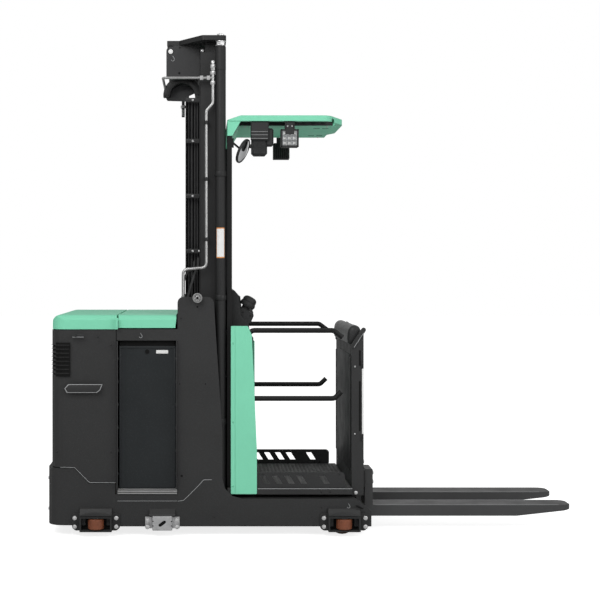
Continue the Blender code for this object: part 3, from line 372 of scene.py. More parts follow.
def collar(hole, edge, radius, half):
    """Profile of a ring with chamfered corners."""
    return [(hole, -half), (edge, -half), (radius, 0.002 - half), (radius, half - 0.002), (edge, half),
            (hole, half)]


@form
def bolt(bm, at, axis, radius=0.008):
    """Hex head bolt with a chamfered head, on a washer, standing on a face along an axis."""
    r = radius * 1.45
    lathe([(0, 0), (r, 0), (r, radius * 0.16), (r * 0.93, radius * 0.22), (0, radius * 0.22)], at, axis)(bm)
    base = radius * 0.2
    top = base + radius * 0.62
    lathe([(0, base), (radius, base), (radius, top - radius * 0.12), (radius * 0.86, top), (0, top)],
          at, axis, 6, 0.26)(bm)


@form
def button(bm, at, axis, radius=0.006):
    """Button head screw with a hexagonal recess."""
    h = radius * 0.55
    lathe([(0, 0), (radius, 0), (radius * 0.96, h * 0.45), (radius * 0.72, h * 0.85), (radius * 0.5, h)],
          at, axis, 16)(bm)
    lathe([(radius * 0.5, h), (radius * 0.45, h * 0.35), (0, h * 0.3)], at, axis, 6)(bm)


def route_of(points, bend, steps=6):
    """Points with their inner corners rounded by a bend radius."""
    points = [Vector(p) for p in points]
    out = [points[0]]
    for a, b, c in zip(points, points[1:], points[2:]):
        back = (a - b).normalized()
        ahead = (c - b).normalized()
        half = back.angle(ahead) / 2
        if half > NEARLY_STRAIGHT:
            out.append(b)
            continue
        reach = min(bend / math.tan(half), (a - b).length * 0.48, (c - b).length * 0.48)
        start = b + back * reach
        end = b + ahead * reach
        for k in range(steps + 1):
            t = k / steps
            out.append(start * (1 - t) ** 2 + b * 2 * t * (1 - t) + end * t ** 2)
    out.append(points[-1])
    return out


@form
def tube(bm, route, radius, sides=12):
    """Round tube along a route, closed at both ends."""
    route = [Vector(p) for p in route]
    rings = []
    normal = None
    for i, here in enumerate(route):
        along = (route[min(i + 1, len(route) - 1)] - route[max(i - 1, 0)]).normalized()
        if normal is None:
            normal = along.orthogonal().normalized()
        normal = (normal - along * normal.dot(along)).normalized()
        other = along.cross(normal)
        rings.append([bm.verts.new(here + (normal * math.cos(2 * math.pi * k / sides)
                                           + other * math.sin(2 * math.pi * k / sides)) * radius)
                      for k in range(sides)])
    for low, high in zip(rings, rings[1:]):
        for k in range(sides):
            n = (k + 1) % sides
            bm.faces.new((low[k], low[n], high[n], high[k]))
    bm.faces.new(list(reversed(rings[0])))
    bm.faces.new(rings[-1])


@form
def prism(bm, outline, low, high, axis, bevel=0.0):
    """Flat outline of (u, v) pairs, thickened between low and high along an axis."""
    order = {"X": lambda u, v, w: (w, u, v), "Y": lambda u, v, w: (u, w, v), "Z": lambda u, v,
             w: (u, v, w)}[axis]
    start = [bm.verts.new(order(u, v, low)) for u, v in outline]
    end = [bm.verts.new(order(u, v, high)) for u, v in outline]
    count = len(outline)
    faces = [bm.faces.new(start), bm.faces.new(end)]
    for k in range(count):
        n = (k + 1) % count
        faces.append(bm.faces.new((start[k], start[n], end[n], end[k])))
    bmesh.ops.recalc_face_normals(bm, faces=faces)
    if bevel:
        edges = list(dict.fromkeys(e for f in faces[:2] for e in f.edges))
        bmesh.ops.bevel(bm, geom=edges, offset=bevel, segments=2, affect="EDGES", profile=0.5)


def piece(name, material, body, *forms, slot=None, angle=40.0):
    """Build a piece of the truck from its forms and let it ride on a CAD body."""
    bm = bmesh.new()
    for add in forms:
        add(bm)
    bmesh.ops.recalc_face_normals(bm, faces=bm.faces)
    mesh = bpy.data.meshes.new(name)
    bm.to_mesh(mesh)
    bm.free()
    made = bpy.data.objects.new(name, mesh)
    bpy.context.scene.collection.objects.link(made)
    mesh.materials.append(material)
    mesh.shade_smooth()
    mesh.set_sharp_from_angle(angle=math.radians(angle))
    slot = slot or SLOT_OF[material.name]
    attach(made, body)
    return made


# rear body
def corner_arc(radius, s, reach):
    """Quarter circle at the rear corner of the power unit and on along the side by reach, seen from above."""
    x, y = COVER[0].x + 0.070, s * (HALF - 0.070)
    angles = [math.radians(a) for a in range(0, 91, 9)]
    arc = [(x - radius * math.cos(a), y + s * radius * math.sin(a)) for a in angles]
    return arc + [(x + reach, arc[-1][1])]


def rear_body():
    for side, s in SIDES.items():
        face = s * HALF
        out = (0, s, 0)
        # blank plate where the name badge is, with a thin raised rim
        a, b = place(64.5, 384.2), place(102.5, 392.8)
        mid = (a.z + b.z) / 2
        rim = [(a.x, mid), (a.x + 0.020, a.z), (b.x, a.z), (b.x - 0.012, mid - 0.008), (b.x - 0.030, b.z),
               (a.x + 0.012, b.z)]
        field = [(u * 0.955 + 0.045 * (a.x + b.x) / 2, v * 0.86 + 0.14 * mid) for u, v in rim]
        piece(f"badge_rim_{side}", GREY, "chassis", prism(rim, face, face + s * 0.0016, "Y", 0.0006))
        piece(f"badge_field_{side}", DARK, "chassis",
              prism(field, face + s * 0.0012, face + s * 0.0022, "Y", 0.0003))
        # latch under the hood with its finger recess
        p = place(78.0, 335.6)
        piece(f"hood_latch_{side}", MOULDED, "chassis",
              box((p.x - 0.032, face, p.z - 0.010), (p.x + 0.032, face + s * 0.002, p.z + 0.008), 0.0009),
              lathe([(0.0095, 0), (0.0095, 0.004), (0.0075, 0.005), (0.006, 0.0035), (0, 0.003)],
                    (p.x - 0.012, face, p.z + 0.001), out, 24))
        piece(f"hood_latch_lip_{side}", GREY, "chassis",
              box((p.x - 0.030, face + s * 0.0015, p.z - 0.0095),
                  (p.x + 0.031, face + s * 0.0032, p.z - 0.0065), 0.0006))
        # mint seal that fills the joint between hood and battery cover
        lid = box_of("battery_cover")[0].z
        piece(f"hood_seal_{side}", MINT, "chassis",
              box((SPLIT - 0.0012, s * (HALF - 0.016), lid - 0.006),
                  (SPLIT + 0.0070, s * (HALF - 0.0004), lid + 0.056), 0.0006))
        piece(f"cover_screws_{side}", MOULDED, "chassis",
              *[button(on_plate(px, py, s), out, 0.0055) for px,
                py in ((98, 337), (57, 452), (111, 452), (111, 345))])
        # painted shade behind the louvres: a dark sheet that stands for the shade inside the slots, and a
        # rolled lip above each slot
        piece(f"louvre_shade_{side}", SHADOW, "chassis",
              prism(corner_arc(0.050, s, 0.036) + corner_arc(0.046, s, 0.036)[::-1], 0.872, 1.056, "Z"))
        lip = corner_arc(0.0695, s, 0.034)
        piece(f"louvre_lips_{side}", DARK, "chassis",
              *[tube([(x, y, z) for x, y in lip], 0.0013, 6) for z in rows(0.8915, 0.0218, 8)])
        # painted highlights: bright grey lines on the seam between cover and skirt, and on the fold of the
        # side plate below the battery and along its sill
        seam = [on_plate(px, py, s, -0.0004) for px,
                py in ((60.2, 467.2), (74.6, 467.6), (89.4, 482.6), (115.5, 482.8))]
        piece(f"skirt_seam_highlight_{side}", GREY, "chassis", tube(route_of(seam, 0.012, 4), 0.0013, 6), slot="dark")
        fold = [on_plate(px, py, s, -0.0002) for px, py in
                ((177.6, 501.2), (183.6, 500.4), (199.0, 485.2), (203.6, 479.8), (212.0, 479.8))]
        sill = [on_plate(px, 501.0, s, -0.0002) for px in (117.5, 176.8)]
        piece(f"plate_fold_highlight_{side}", GREY, "chassis", tube(route_of(fold, 0.010, 4), 0.0014, 6),
              tube(sill, 0.0011, 6), slot="dark")
    # blank plate, screws and vent ribs on the back
    x = COVER[0].x
    piece("rear_name_plate_blank", GREY, "chassis",
          prism([(-0.115, 0.66), (0.115, 0.66), (0.115, 0.74), (-0.115, 0.74)], x - 0.0004, x - 0.0030, "X",
                0.0008))
    piece("rear_screws", BOLT, "chassis",
          *[button((x, y, z), REARWARD, 0.0065) for y in (-0.34, 0.34) for z in (0.47, 1.06)],
          *[bolt((SKIRT[0].x, y, z), REARWARD, 0.010) for y in (-0.33, 0.33) for z in (0.30, 0.13)])
    piece("rear_vent_ribs", DARK, "chassis",
          *[box((x - 0.0035, -0.27, z), (x + 0.001, 0.27, z + 0.010), 0.0014) for z in rows(0.86, 0.026, 7)])


def hook_mark(name, px, py, body, depth, size):
    """Small lifting point mark in the form of a hook, on both sides at the given depth."""
    shape = ((-0.10, 0.55), (0.02, 0.30), (0.22, 0.02), (0.26, -0.22), (0.08, -0.46), (-0.22, -0.46),
             (-0.40, -0.22))
    for side, s in SIDES.items():
        p = place(px, py, -depth)
        route = route_of([(p.x + size * u, s * (depth + 0.0002), p.z + size * v) for u, v in shape],
                         size * 0.3, 3)
        piece(f"{name}_{side}", GREY, body, tube(route, size * 0.055, 6))


# battery
def battery_dress():
    low, high = BATTERY
    for side, s in SIDES.items():
        face = s * high.y
        out = (0, s, 0)
        hole = place(147.2, 351.6, -high.y)
        at = (hole.x, face, hole.z)
        piece(f"battery_eye_rim_{side}", ENAMEL, "chassis",
              lathe([(0.0150, 0), (0.0150, 0.0022), (0.0125, 0.0030), (0.0120, 0.0012)], at, out, 28))
        # the dark inside of the eye is painted shade
        piece(f"battery_eye_{side}", SHADOW, "chassis",
              lathe([(0.0121, 0.0006), (0.006, 0.0009), (0, 0.0009)], at, out, 28))
        a, b = place(156.2, 350.1, -high.y), place(168.2, 353.5, -high.y)
        piece(f"battery_label_blank_{side}", WHITE, "chassis",
              box((a.x, face, b.z), (b.x, face + s * 0.0014, a.z), 0.0005))
        # folded edges of the tray
        piece(f"battery_tray_edges_{side}", ENAMEL, "chassis",
              *[box((x - 0.0055, face - s * 0.001, low.z + 0.004),
                    (x + 0.0055, face + s * 0.0028, high.z - 0.004), 0.0012)
                for x in (low.x + 0.006, high.x - 0.006)],
              box((low.x + 0.004, face - s * 0.001, high.z - 0.016),
                  (high.x - 0.004, face + s * 0.0032, high.z - 0.003), 0.0014))
        # painted shade: a dark sheet above the tray, under the cover, standing for the shade in the gap there
        piece(f"battery_gap_shade_{side}", SHADOW, "chassis",
              box((low.x + 0.002, face - s * 0.0045, high.z - 0.006),
                  (high.x - 0.002, face - s * 0.0025, OPENING_TOP + 0.0005), 0.0008))
        # rubber strips on the edges of the opening, with their notches
        strips = []
        for x, inward in ((SPLIT + 0.0035, 1), (PLATE_BACK - 0.0035, -1)):
            strips.append(box((x - 0.003, s * (HALF - 0.014), 0.262),
                              (x + 0.003, s * (HALF - 0.001), OPENING_TOP), 0.0014))
            strips += [box((x - 0.001, s * (HALF - 0.010), z),
                           (x + inward * 0.0065, s * (HALF - 0.003), z + 0.012), 0.001)
                       for z in rows(0.34, 0.125, 6)]
        piece(f"opening_seals_{side}", RUBBER, "chassis", *strips)
        # painted shade: thin dark strips standing for the grooves that part the silver rail into two bright
        # lines
        y = s * BED[1].y
        piece(f"sill_groove_shades_{side}", SHADOW, "chassis",
              *[box((SPLIT + 0.003, y, z - t), (PLATE_BACK - 0.003, y + s * 0.0006, z + t), 0.0002)
                for z, t in ((0.2405, 0.0016), (0.2518, 0.0009), (0.2292, 0.0011))])
    # cells, caps and links on top, seen with the cover open
    z = high.z
    cells, caps, links = [], [], []
    columns, lines = 3, 8
    width = (high.x - low.x - 0.024) / columns
    length = (high.y - low.y - 0.024) / lines
    for x in rows(low.x + 0.012 + width / 2, width, columns):
        for k, y in enumerate(rows(low.y + 0.012 + length / 2, length, lines)):
            cells.append(box((x - width / 2 + 0.001, y - length / 2 + 0.001, z - 0.001),
                             (x + width / 2 - 0.001, y + length / 2 - 0.001, z + 0.008), 0.002))
            caps.append(lathe([(0.013, 0.006), (0.013, 0.016), (0.010, 0.020), (0, 0.020)], (x, y, z), UP,
                              16))
            links += [lathe([(0.008, 0.006), (0.008, 0.013), (0, 0.013)], (x + e * width * 0.28, y, z), UP,
                            12)
                      for e in (-1, 1)]
            if k < lines - 1:
                pole = x + (1 if k % 2 else -1) * width * 0.28
                links.append(box((pole - 0.007, y, z + 0.011), (pole + 0.007, y + length, z + 0.015), 0.0015))
    piece("battery_cells", CELL, "chassis", *cells)
    piece("battery_caps", YELLOW, "chassis", *caps)
    piece("battery_links", BOLT, "chassis", *links)


# chassis side plates
def side_plates():
    for side, s in SIDES.items():
        face = s * HALF
        out = (0, s, 0)
        # round pin of the mast mounting; its groove, centre recess and four small holes are flat dark shapes
        # of painted shade
        pin = on_plate(197.4, 298.0, s)
        piece(f"mast_pin_{side}", ZINC, "chassis",
              lathe([(0.012, -0.088), (0.012, 0.0003), (0.0262, 0.0003), (0.0265, 0.0040), (0.0245, 0.0058),
                     (0.0185, 0.0058), (0.0170, 0.0042), (0.0120, 0.0042), (0.0110, 0.0075), (0.0070, 0.0085),
                     (0.0060, 0.0055), (0, 0.0050)], pin, out, 36))
        around = [math.radians(45 + 90 * k) for k in range(4)]
        piece(f"mast_pin_recess_shades_{side}", SHADOW, "chassis",
              lathe([(0.0176, 0.0043), (0.0188, 0.0060), (0.0200, 0.0060), (0.0188, 0.0052)], pin, out, 32),
              lathe([(0.0062, 0.0056), (0.0050, 0.0066), (0, 0.0066)], pin, out, 20),
              *[lathe([(0.0022, 0.0042), (0.0022, 0.0049), (0, 0.0049)],
                      pin + Vector((0.0145 * math.cos(a), 0, 0.0145 * math.sin(a))), out, 12)
                for a in around])
        # painted shade: flat dark discs standing for the dark inside of small holes in the plate
        piece(f"plate_hole_shades_{side}", SHADOW, "chassis",
              *[lathe([(r, 0), (r, 0.0008), (r * 0.7, 0.0011), (r * 0.55, 0.0004), (0, 0.0003)],
                      on_plate(px, py, s), out, 20)
                for px, py, r in ((197.4, 306.9, 0.0050), (181.7, 476.0, 0.0065), (181.0, 318.5, 0.0035),
                                  (179.6, 384.0, 0.0035), (205.5, 384.0, 0.0035), (360.0, 507.6, 0.0035))])
        # screws of the leg end, and its slot as a flat dark shape of painted shade
        piece(f"leg_screws_{side}", MOULDED, "chassis",
              *[button(on_plate(px, py, s), out, 0.0050)
                for px, py in ((321.3, 507.6), (312.0, 517.0), (214.0, 517.0), (245.0, 525.4))])
        a, b = place(355.8, 505.4), place(363.4, 509.2)
        piece(f"leg_slot_shade_{side}", SHADOW, "chassis",
              prism([(a.x, a.z), (a.x + 0.012, a.z), (b.x, b.z + 0.005), (b.x, b.z), (b.x - 0.010, b.z),
                     (a.x, a.z - 0.008)], face, face + s * 0.0006, "Y"))


# guide rollers, wear blocks and wheels
def running_gear():
    for side, s in SIDES.items():
        out = (0, s, 0)
        for end in ("rear", "front"):
            low, high = box_of(f"guide_housing_{end}_{side}")
            mid = (low.x + high.x) / 2
            piece(f"guide_bolts_{end}_{side}", BOLT, "chassis",
                  *[bolt((mid + dx, s * (HALF + 0.0063), z), out, 0.0078) for dx in (-0.113, 0.113)
                    for z in (0.107, 0.060)])
            # painted shade: a dark plate behind the roller that stands for the shade inside the housing
            piece(f"guide_back_shade_{end}_{side}", SHADOW, "chassis",
                  box((mid - 0.084, s * (HALF - 0.0425), 0.034), (mid + 0.084, s * (HALF - 0.0405), 0.126),
                      0.0006))
            # arched hood over the roller
            hood = [(mid + 0.087 * t, 0.1215 + 0.016 * (1 - t * t)) for t in rows(-1, 1 / 7, 15)]
            hood += [(mid + 0.087, 0.1185), (mid - 0.087, 0.1185)]
            piece(f"guide_hood_{end}_{side}", DARK, "chassis",
                  prism(hood, s * (HALF + 0.0062), s * (HALF + 0.016), "Y", 0.0015))
            # hub caps of the roller, above and below
            low, high = box_of(f"guide_roller_{end}_{side}")
            centre = (low + high) / 2
            piece(f"guide_bearing_{end}_{side}", BOLT, f"guide_{end}_{side}",
                  *[lathe([(0.0088, -0.001), (0.0190, -0.001), (0.0190, 0.0010), (0.0160, 0.0020),
                           (0.0105, 0.0022),
                           (0.0088, 0.0015)], (centre.x, centre.y, z), (0, 0, up), 24)
                    for z, up in ((high.z, 1), (low.z, -1))])
        # wear block: bolts, and a slanted slot and side notches in its face, drawn as flat dark shapes of
        # painted shade
        low, high = box_of(f"wear_block_{side}")
        mid = (low.x + high.x) / 2
        piece(f"wear_bolts_{side}", BOLT, "chassis",
              *[bolt((mid + dx, s * (HALF + 0.0083), z), out, 0.0078) for dx in (-0.080, 0.080)
                for z in (0.095, 0.058)])
        face = s * max(abs(low.y), abs(high.y))
        inside, outside = face - s * 0.0003, face + s * 0.0006
        c, t = math.cos(SLOT_SLANT), math.sin(SLOT_SLANT)
        slot = []
        for k in range(24):
            angle = 2 * math.pi * k / 24
            u = 0.0105 * math.cos(angle) + (0.0125 if math.cos(angle) > 0 else -0.0125)
            v = 0.0085 * math.sin(angle)
            slot.append((mid + u * c - v * t, 0.0765 + u * t + v * c))
        piece(f"wear_slot_shade_{side}", SHADOW, "chassis", prism(slot, inside, outside, "Y"),
              *[box((mid + dx - 0.004, inside, z - 0.0025), (mid + dx + 0.004, outside, z + 0.0025))
                for dx in (-0.0505, 0.0505) for z in (0.088, 0.064)])
        # load wheel hub
        low, high = box_of(f"load_wheel_{side}")
        centre = (low + high) / 2
        piece(f"load_wheel_hub_{side}", ZINC, f"load_wheel_{side}",
              *[lathe([(0.0135, -0.001), (0.040, -0.001), (0.040, 0.0010), (0.036, 0.0022), (0.018, 0.0022),
                       (0.0135, 0.0010)], (centre.x, y, centre.z), (0, d, 0), 28) for y,
                d in ((high.y, 1), (low.y, -1))])
    low, high = box_of("drive_wheel")
    centre = (low + high) / 2
    around = [2 * math.pi * k / 7 for k in range(7)]
    piece("drive_wheel_hub", ZINC, "drive_wheel",
          lathe([(0.0312, -0.0005), (0.118, -0.0005), (0.118, 0.0015), (0.110, 0.0035), (0.052, 0.0035),
                 (0.048, 0.0060), (0.0312, 0.0060)], (centre.x, low.y, centre.z), (0, -1, 0), 40),
          *[bolt((centre.x + 0.082 * math.cos(a), low.y - 0.0035, centre.z + 0.082 * math.sin(a)), (0, -1, 0))
            for a in around])
    # motor: cooling ribs and terminal box
    low, high = box_of("drive_unit")
    x = (low.x + high.x) / 2
    piece("motor_ribs", MOULDED, "drive_unit",
          *[lathe([(0.099, z), (0.1035, z + 0.001), (0.1035, z + 0.007), (0.099, z + 0.008)], (x, 0, 0), UP,
                  40)
            for z in rows(0.60, 0.020, 11)],
          box((x - 0.045, -0.045, high.z - 0.001), (x + 0.045, 0.045, high.z + 0.022), 0.005))


# mast
@form
def cylinder_label(bm, radius, spread, z0, z1):
    """Label bent round the right cylinder, between two heights."""
    angles = rows(-spread, spread / 6, 13)
    a, b, c, d = [[bm.verts.new((CYLINDER_X + r * math.sin(t), -CYLINDER_Y - r * math.cos(t), z))
                   for t in angles]
                  for z in (z0, z1) for r in (radius, radius + 0.0004)]
    for k in range(12):
        bm.faces.new((a[k], a[k + 1], c[k + 1], c[k]))
        bm.faces.new((b[k], d[k], d[k + 1], b[k + 1]))
        bm.faces.new((a[k], b[k], b[k + 1], a[k + 1]))
        bm.faces.new((c[k], c[k + 1], d[k + 1], d[k]))
    bm.faces.new((a[0], c[0], d[0], b[0]))
    bm.faces.new((a[12], b[12], d[12], c[12]))


def mast_dress():
    # cables that lie in the trough, and hoses that run over the guide with the inner mast
    x0, x1 = TROUGH[0].x, TROUGH[1].x
    piece("trough_cables", RUBBER, "chassis",
          *[tube([(x0 + dx, -0.318, 1.302), (x0 + dx, -0.318, 2.405)], r)
            for dx, r in ((0.016, 0.0065), (0.034, 0.0075), (0.052, 0.0060), (0.066, 0.0060))])
    r = ARCH_R + 0.0072
    hoses = []
    for y in rows(-0.128, -0.022, 3):
        route = [(ARCH_X - r, y, ARCH_Z - 0.004)]
        route += [(ARCH_X + r * math.cos(a), y, ARCH_Z + r * math.sin(a))
                  for a in rows(math.pi, -math.pi / 16, 17)]
        route += [(ARCH_X + r - 0.003, y, ARCH_Z - 0.06), (ARCH_X + r - 0.006, y, 0.62)]
        hoses.append(tube(route, 0.0070))
    piece("mast_hoses", RUBBER, "inner_mast", *hoses)
    # wiper strips that close the joint between head box and outer rails
    piece("head_wipers", RUBBER, "inner_mast",
          *[box((MAST_BACK - 0.0078, s * 0.236, 2.425), (MAST_BACK - 0.0008, s * 0.2575, 2.7), 0.0008)
            for s in SIDES.values()])
    # nuts on top of the crosshead
    top = box_of("crosshead")[1].z
    piece("crosshead_nuts", BOLT, "inner_mast",
          *[lathe([(0, -0.001), (0.0260, -0.001), (0.0260, 0.0012), (0.0205, 0.0014), (0.0205, 0.0090),
                   (0.0170, 0.0110), (0.0090, 0.0110), (0.0090, 0.0140), (0, 0.0145)],
                  (CYLINDER_X, s * CYLINDER_Y, top), UP, 6, 0.3) for s in SIDES.values()])
    # clamps across the trough with their screws
    face = -0.3625
    heights = [place(195, py, -0.362).z for py in (100, 141, 196, 251)]
    piece("trough_clamps", BLACK, "chassis",
          *[box((x0 + 0.002, face, z - 0.012), (x1 - 0.003, face + 0.0035, z + 0.012), 0.001)
            for z in heights])
    piece("trough_screws", BOLT, "chassis",
          *[button((x0 + 0.040, face, z), (0, -1, 0), 0.0068) for z in heights],
          button((x1 - 0.008, face, heights[-1]), (0, -1, 0), 0.0062))
    # black hoses that leave the trough for the chassis, on the right
    near = [(x1 - 0.012, -0.3665, 1.52), (x1 - 0.014, -0.372, 1.470), (x0 + 0.052, -0.385, 1.440),
            (x0 + 0.012, -0.396, 1.300), (x0 + 0.004, -0.398, 1.05)]
    far = [(x1 - 0.034, -0.3665, 1.50), (x1 - 0.036, -0.374, 1.452), (x0 + 0.010, -0.390, 1.446),
           (x0 - 0.008, -0.402, 1.390), (x0 - 0.010, -0.404, 1.05)]
    piece("chassis_hoses", RUBBER, "chassis", tube(route_of(near, 0.05), 0.0075),
          tube(route_of(far, 0.04), 0.0060))
    # label on the right cylinder, left blank
    piece("cylinder_label_edge", AMBER, "chassis", cylinder_label(0.0283, 0.86, 1.518, 1.684))
    piece("cylinder_label_blank", WHITE, "chassis", cylinder_label(0.0286, 0.76, 1.524, 1.678))
    for side, s in SIDES.items():
        # cylinder heads, seals and clamps below the crosshead
        x, y = CYLINDER_X, s * CYLINDER_Y
        piece(f"cylinder_gland_{side}", BLACK, "chassis",
              lathe([(0.0190, 2.671), (0.0300, 2.671), (0.0300, 2.676), (0.0280, 2.678), (0.0240, 2.678),
                     (0.0240, 2.681), (0.0190, 2.681)], (x, y, 0), UP, 32))
        piece(f"rod_washers_{side}", BOLT, "inner_mast",
              lathe(ring(0.0182, 0.0285, 2.684, 2.6865), (x, y, 0), UP, 32),
              lathe(ring(0.0182, 0.0285, 2.7065, 2.7095), (x, y, 0), UP, 32))
        clamps = []
        for z in (0.62, 1.30, 1.98):
            clamps += [lathe(collar(0.0284, 0.0318, 0.0326, 0.014), (x, y, z), UP, 32),
                       box((x - 0.012, y - s * 0.030, z - 0.012), (x + 0.012, y - s * 0.022, z + 0.012),
                           0.001)]
        piece(f"cylinder_clamps_{side}", BLACK, "chassis", *clamps)
        # bolts of the cross members, slide blocks at the top of the outer rails
        piece(f"cross_member_bolts_{side}", BOLT, "chassis",
              *[bolt((MAST_BACK + 0.0003, s * y, z), REARWARD, 0.0075)
                for z in (0.30, 1.26, 1.34, 2.30, 2.40) for y in (0.24, 0.19)])
        piece(f"inner_member_bolts_{side}", BOLT, "inner_mast",
              *[bolt((INNER[0].x + 0.0003, s * y, z), REARWARD, 0.0070) for z in (2.49, 2.56)
                for y in (0.215, 0.155)])
        piece(f"slide_blocks_{side}", MOULDED, "chassis",
              *[box((x - 0.0035, s * 0.305, 2.56), (x + 0.0035, s * 0.345, 2.64), 0.001)
                for x in (MAST_BACK + 0.019, OUTER[1].x - 0.019)])
    # clips and unions of the silver pipe
    x = PIPE_X - 0.036
    clips = []
    for z in (1.62, 1.95, 2.26):
        clips += [lathe(collar(0.0086, 0.0116, 0.0122, 0.010), (x, PIPE_Y, z), UP),
                  box((x - 0.010, -0.405, z - 0.009), (x + 0.012, -0.3655, z + 0.009), 0.001)]
    piece("pipe_clips", BLACK, "chassis", *clips)
    piece("pipe_unions", BOLT, "chassis",
          *[lathe(collar(0.0072, r * 0.9, r, 0.010), (PIPE_X, PIPE_Y, z), UP, 6)
            for z, r in ((2.568, 0.0135), (2.532, 0.0150), (2.478, 0.0135))],
          lathe([(0, -0.006), (0.0105, -0.006), (0.0110, 0.004), (0.0080, 0.010), (0, 0.011)],
                (PIPE_X, PIPE_Y, 2.590), UP, 16),
          *[lathe(collar(0.0072, 0.0118, 0.0128, 0.009), (x, PIPE_Y - 0.001, 2.505), (1, 0, 0), 6)
            for x in (PIPE_X - 0.024, PIPE_X - 0.062)])


def head_dress():
    for side, s in SIDES.items():
        face = s * HEADBOX[1].y
        out = (0, s, 0)
        p = place(179.3, 73.2, -HEADBOX[1].y)
        hole = (HEADBOX[0].x + 0.024, face, HOLE_Z)
        # painted shade: a flat dark disc standing for the dark inside of a small hole
        piece(f"head_box_hole_shade_{side}", SHADOW, "inner_mast",
              lathe([(0.0062, 0), (0.0062, 0.0012), (0.0045, 0.0016), (0.0040, 0.0005), (0, 0.0004)],
                    (p.x, face, p.z), out, 20))
        # ring round the lifting hole and the disc that shows in it
        piece(f"lifting_hole_ring_{side}", BLACK, "inner_mast",
              lathe([(0.0137, 0.0), (0.0165, 0.0), (0.0165, 0.0014), (0.0155, 0.0022), (0.0145, 0.0022),
                     (0.0137, 0.0014)], hole, out, 32))
        piece(f"lifting_hole_disc_{side}", WHITE, "inner_mast",
              lathe([(0.0134, -0.001), (0.0134, 0.0009), (0.0128, 0.0013), (0, 0.0013)], hole, out, 32))
        # bracket with its bolt between the box and the cylinder
        piece(f"head_bracket_{side}", BLACK, "inner_mast",
              box((MAST_BACK + 0.0008, s * 0.262, 2.660), (MAST_BACK + 0.0235, s * 0.299, 2.690), 0.002),
              box((MAST_BACK + 0.004, s * 0.252, 2.664), (MAST_BACK + 0.020, s * 0.268, 2.686), 0.001))
        piece(f"head_bracket_bolt_{side}", BOLT, "inner_mast",
              bolt((MAST_BACK + 0.012, s * 0.299, 2.675), out, 0.0062))
        piece(f"head_box_screws_{side}", MOULDED, "inner_mast",
              *[button((HEADBOX[0].x + dx, face, 2.700), out, 0.0055) for dx in (0.075, 0.150)])
    # hose sheave plates, one on each side of the guide
    plates = []
    for y, d in ((ARCH[0].y - 0.0006, -0.003), (ARCH[1].y + 0.0006, 0.003)):
        angles = rows(0, math.pi / 22, 23)
        outline = [(ARCH_X + r * math.cos(a), ARCH_Z + r * math.sin(a))
                   for r, turn in ((ARCH_R + 0.014, angles), (ARCH_R - 0.024, angles[::-1])) for a in turn]
        plates.append(prism(outline, y, y + d, "Y", 0.0006))
    piece("sheave_plates", BLACK, "inner_mast", *plates)
    left, right = ARCH_X - ARCH_R, ARCH_X + ARCH_R
    outline = [(left + 0.010, 0.052), (left - 0.012, 0.020), (left + 0.008, -0.016), (right - 0.060, -0.020),
               (right - 0.058, 0.012), (right - 0.020, 0.030), (right - 0.030, 0.060), (ARCH_X, 0.078)]
    piece("hose_back_plate", GREY_PAINT, "inner_mast",
          prism([(x, ARCH_Z + z) for x, z in outline], -0.092, -0.096, "Y", 0.001))
    # nut and threaded end of the hanging rod
    at = (ARCH_X, 0.06, 2.352)
    piece("hanging_rod_nut", BOLT, "inner_mast", lathe(ring(0.0092, 0.0150, 0.050, 0.066), at, UP, 6),
          *[lathe([(0.0088, h), (0.0097, h + 0.0012), (0.0088, h + 0.0024)], at, UP, 16)
            for h in rows(0.004, 0.0045, 9)])


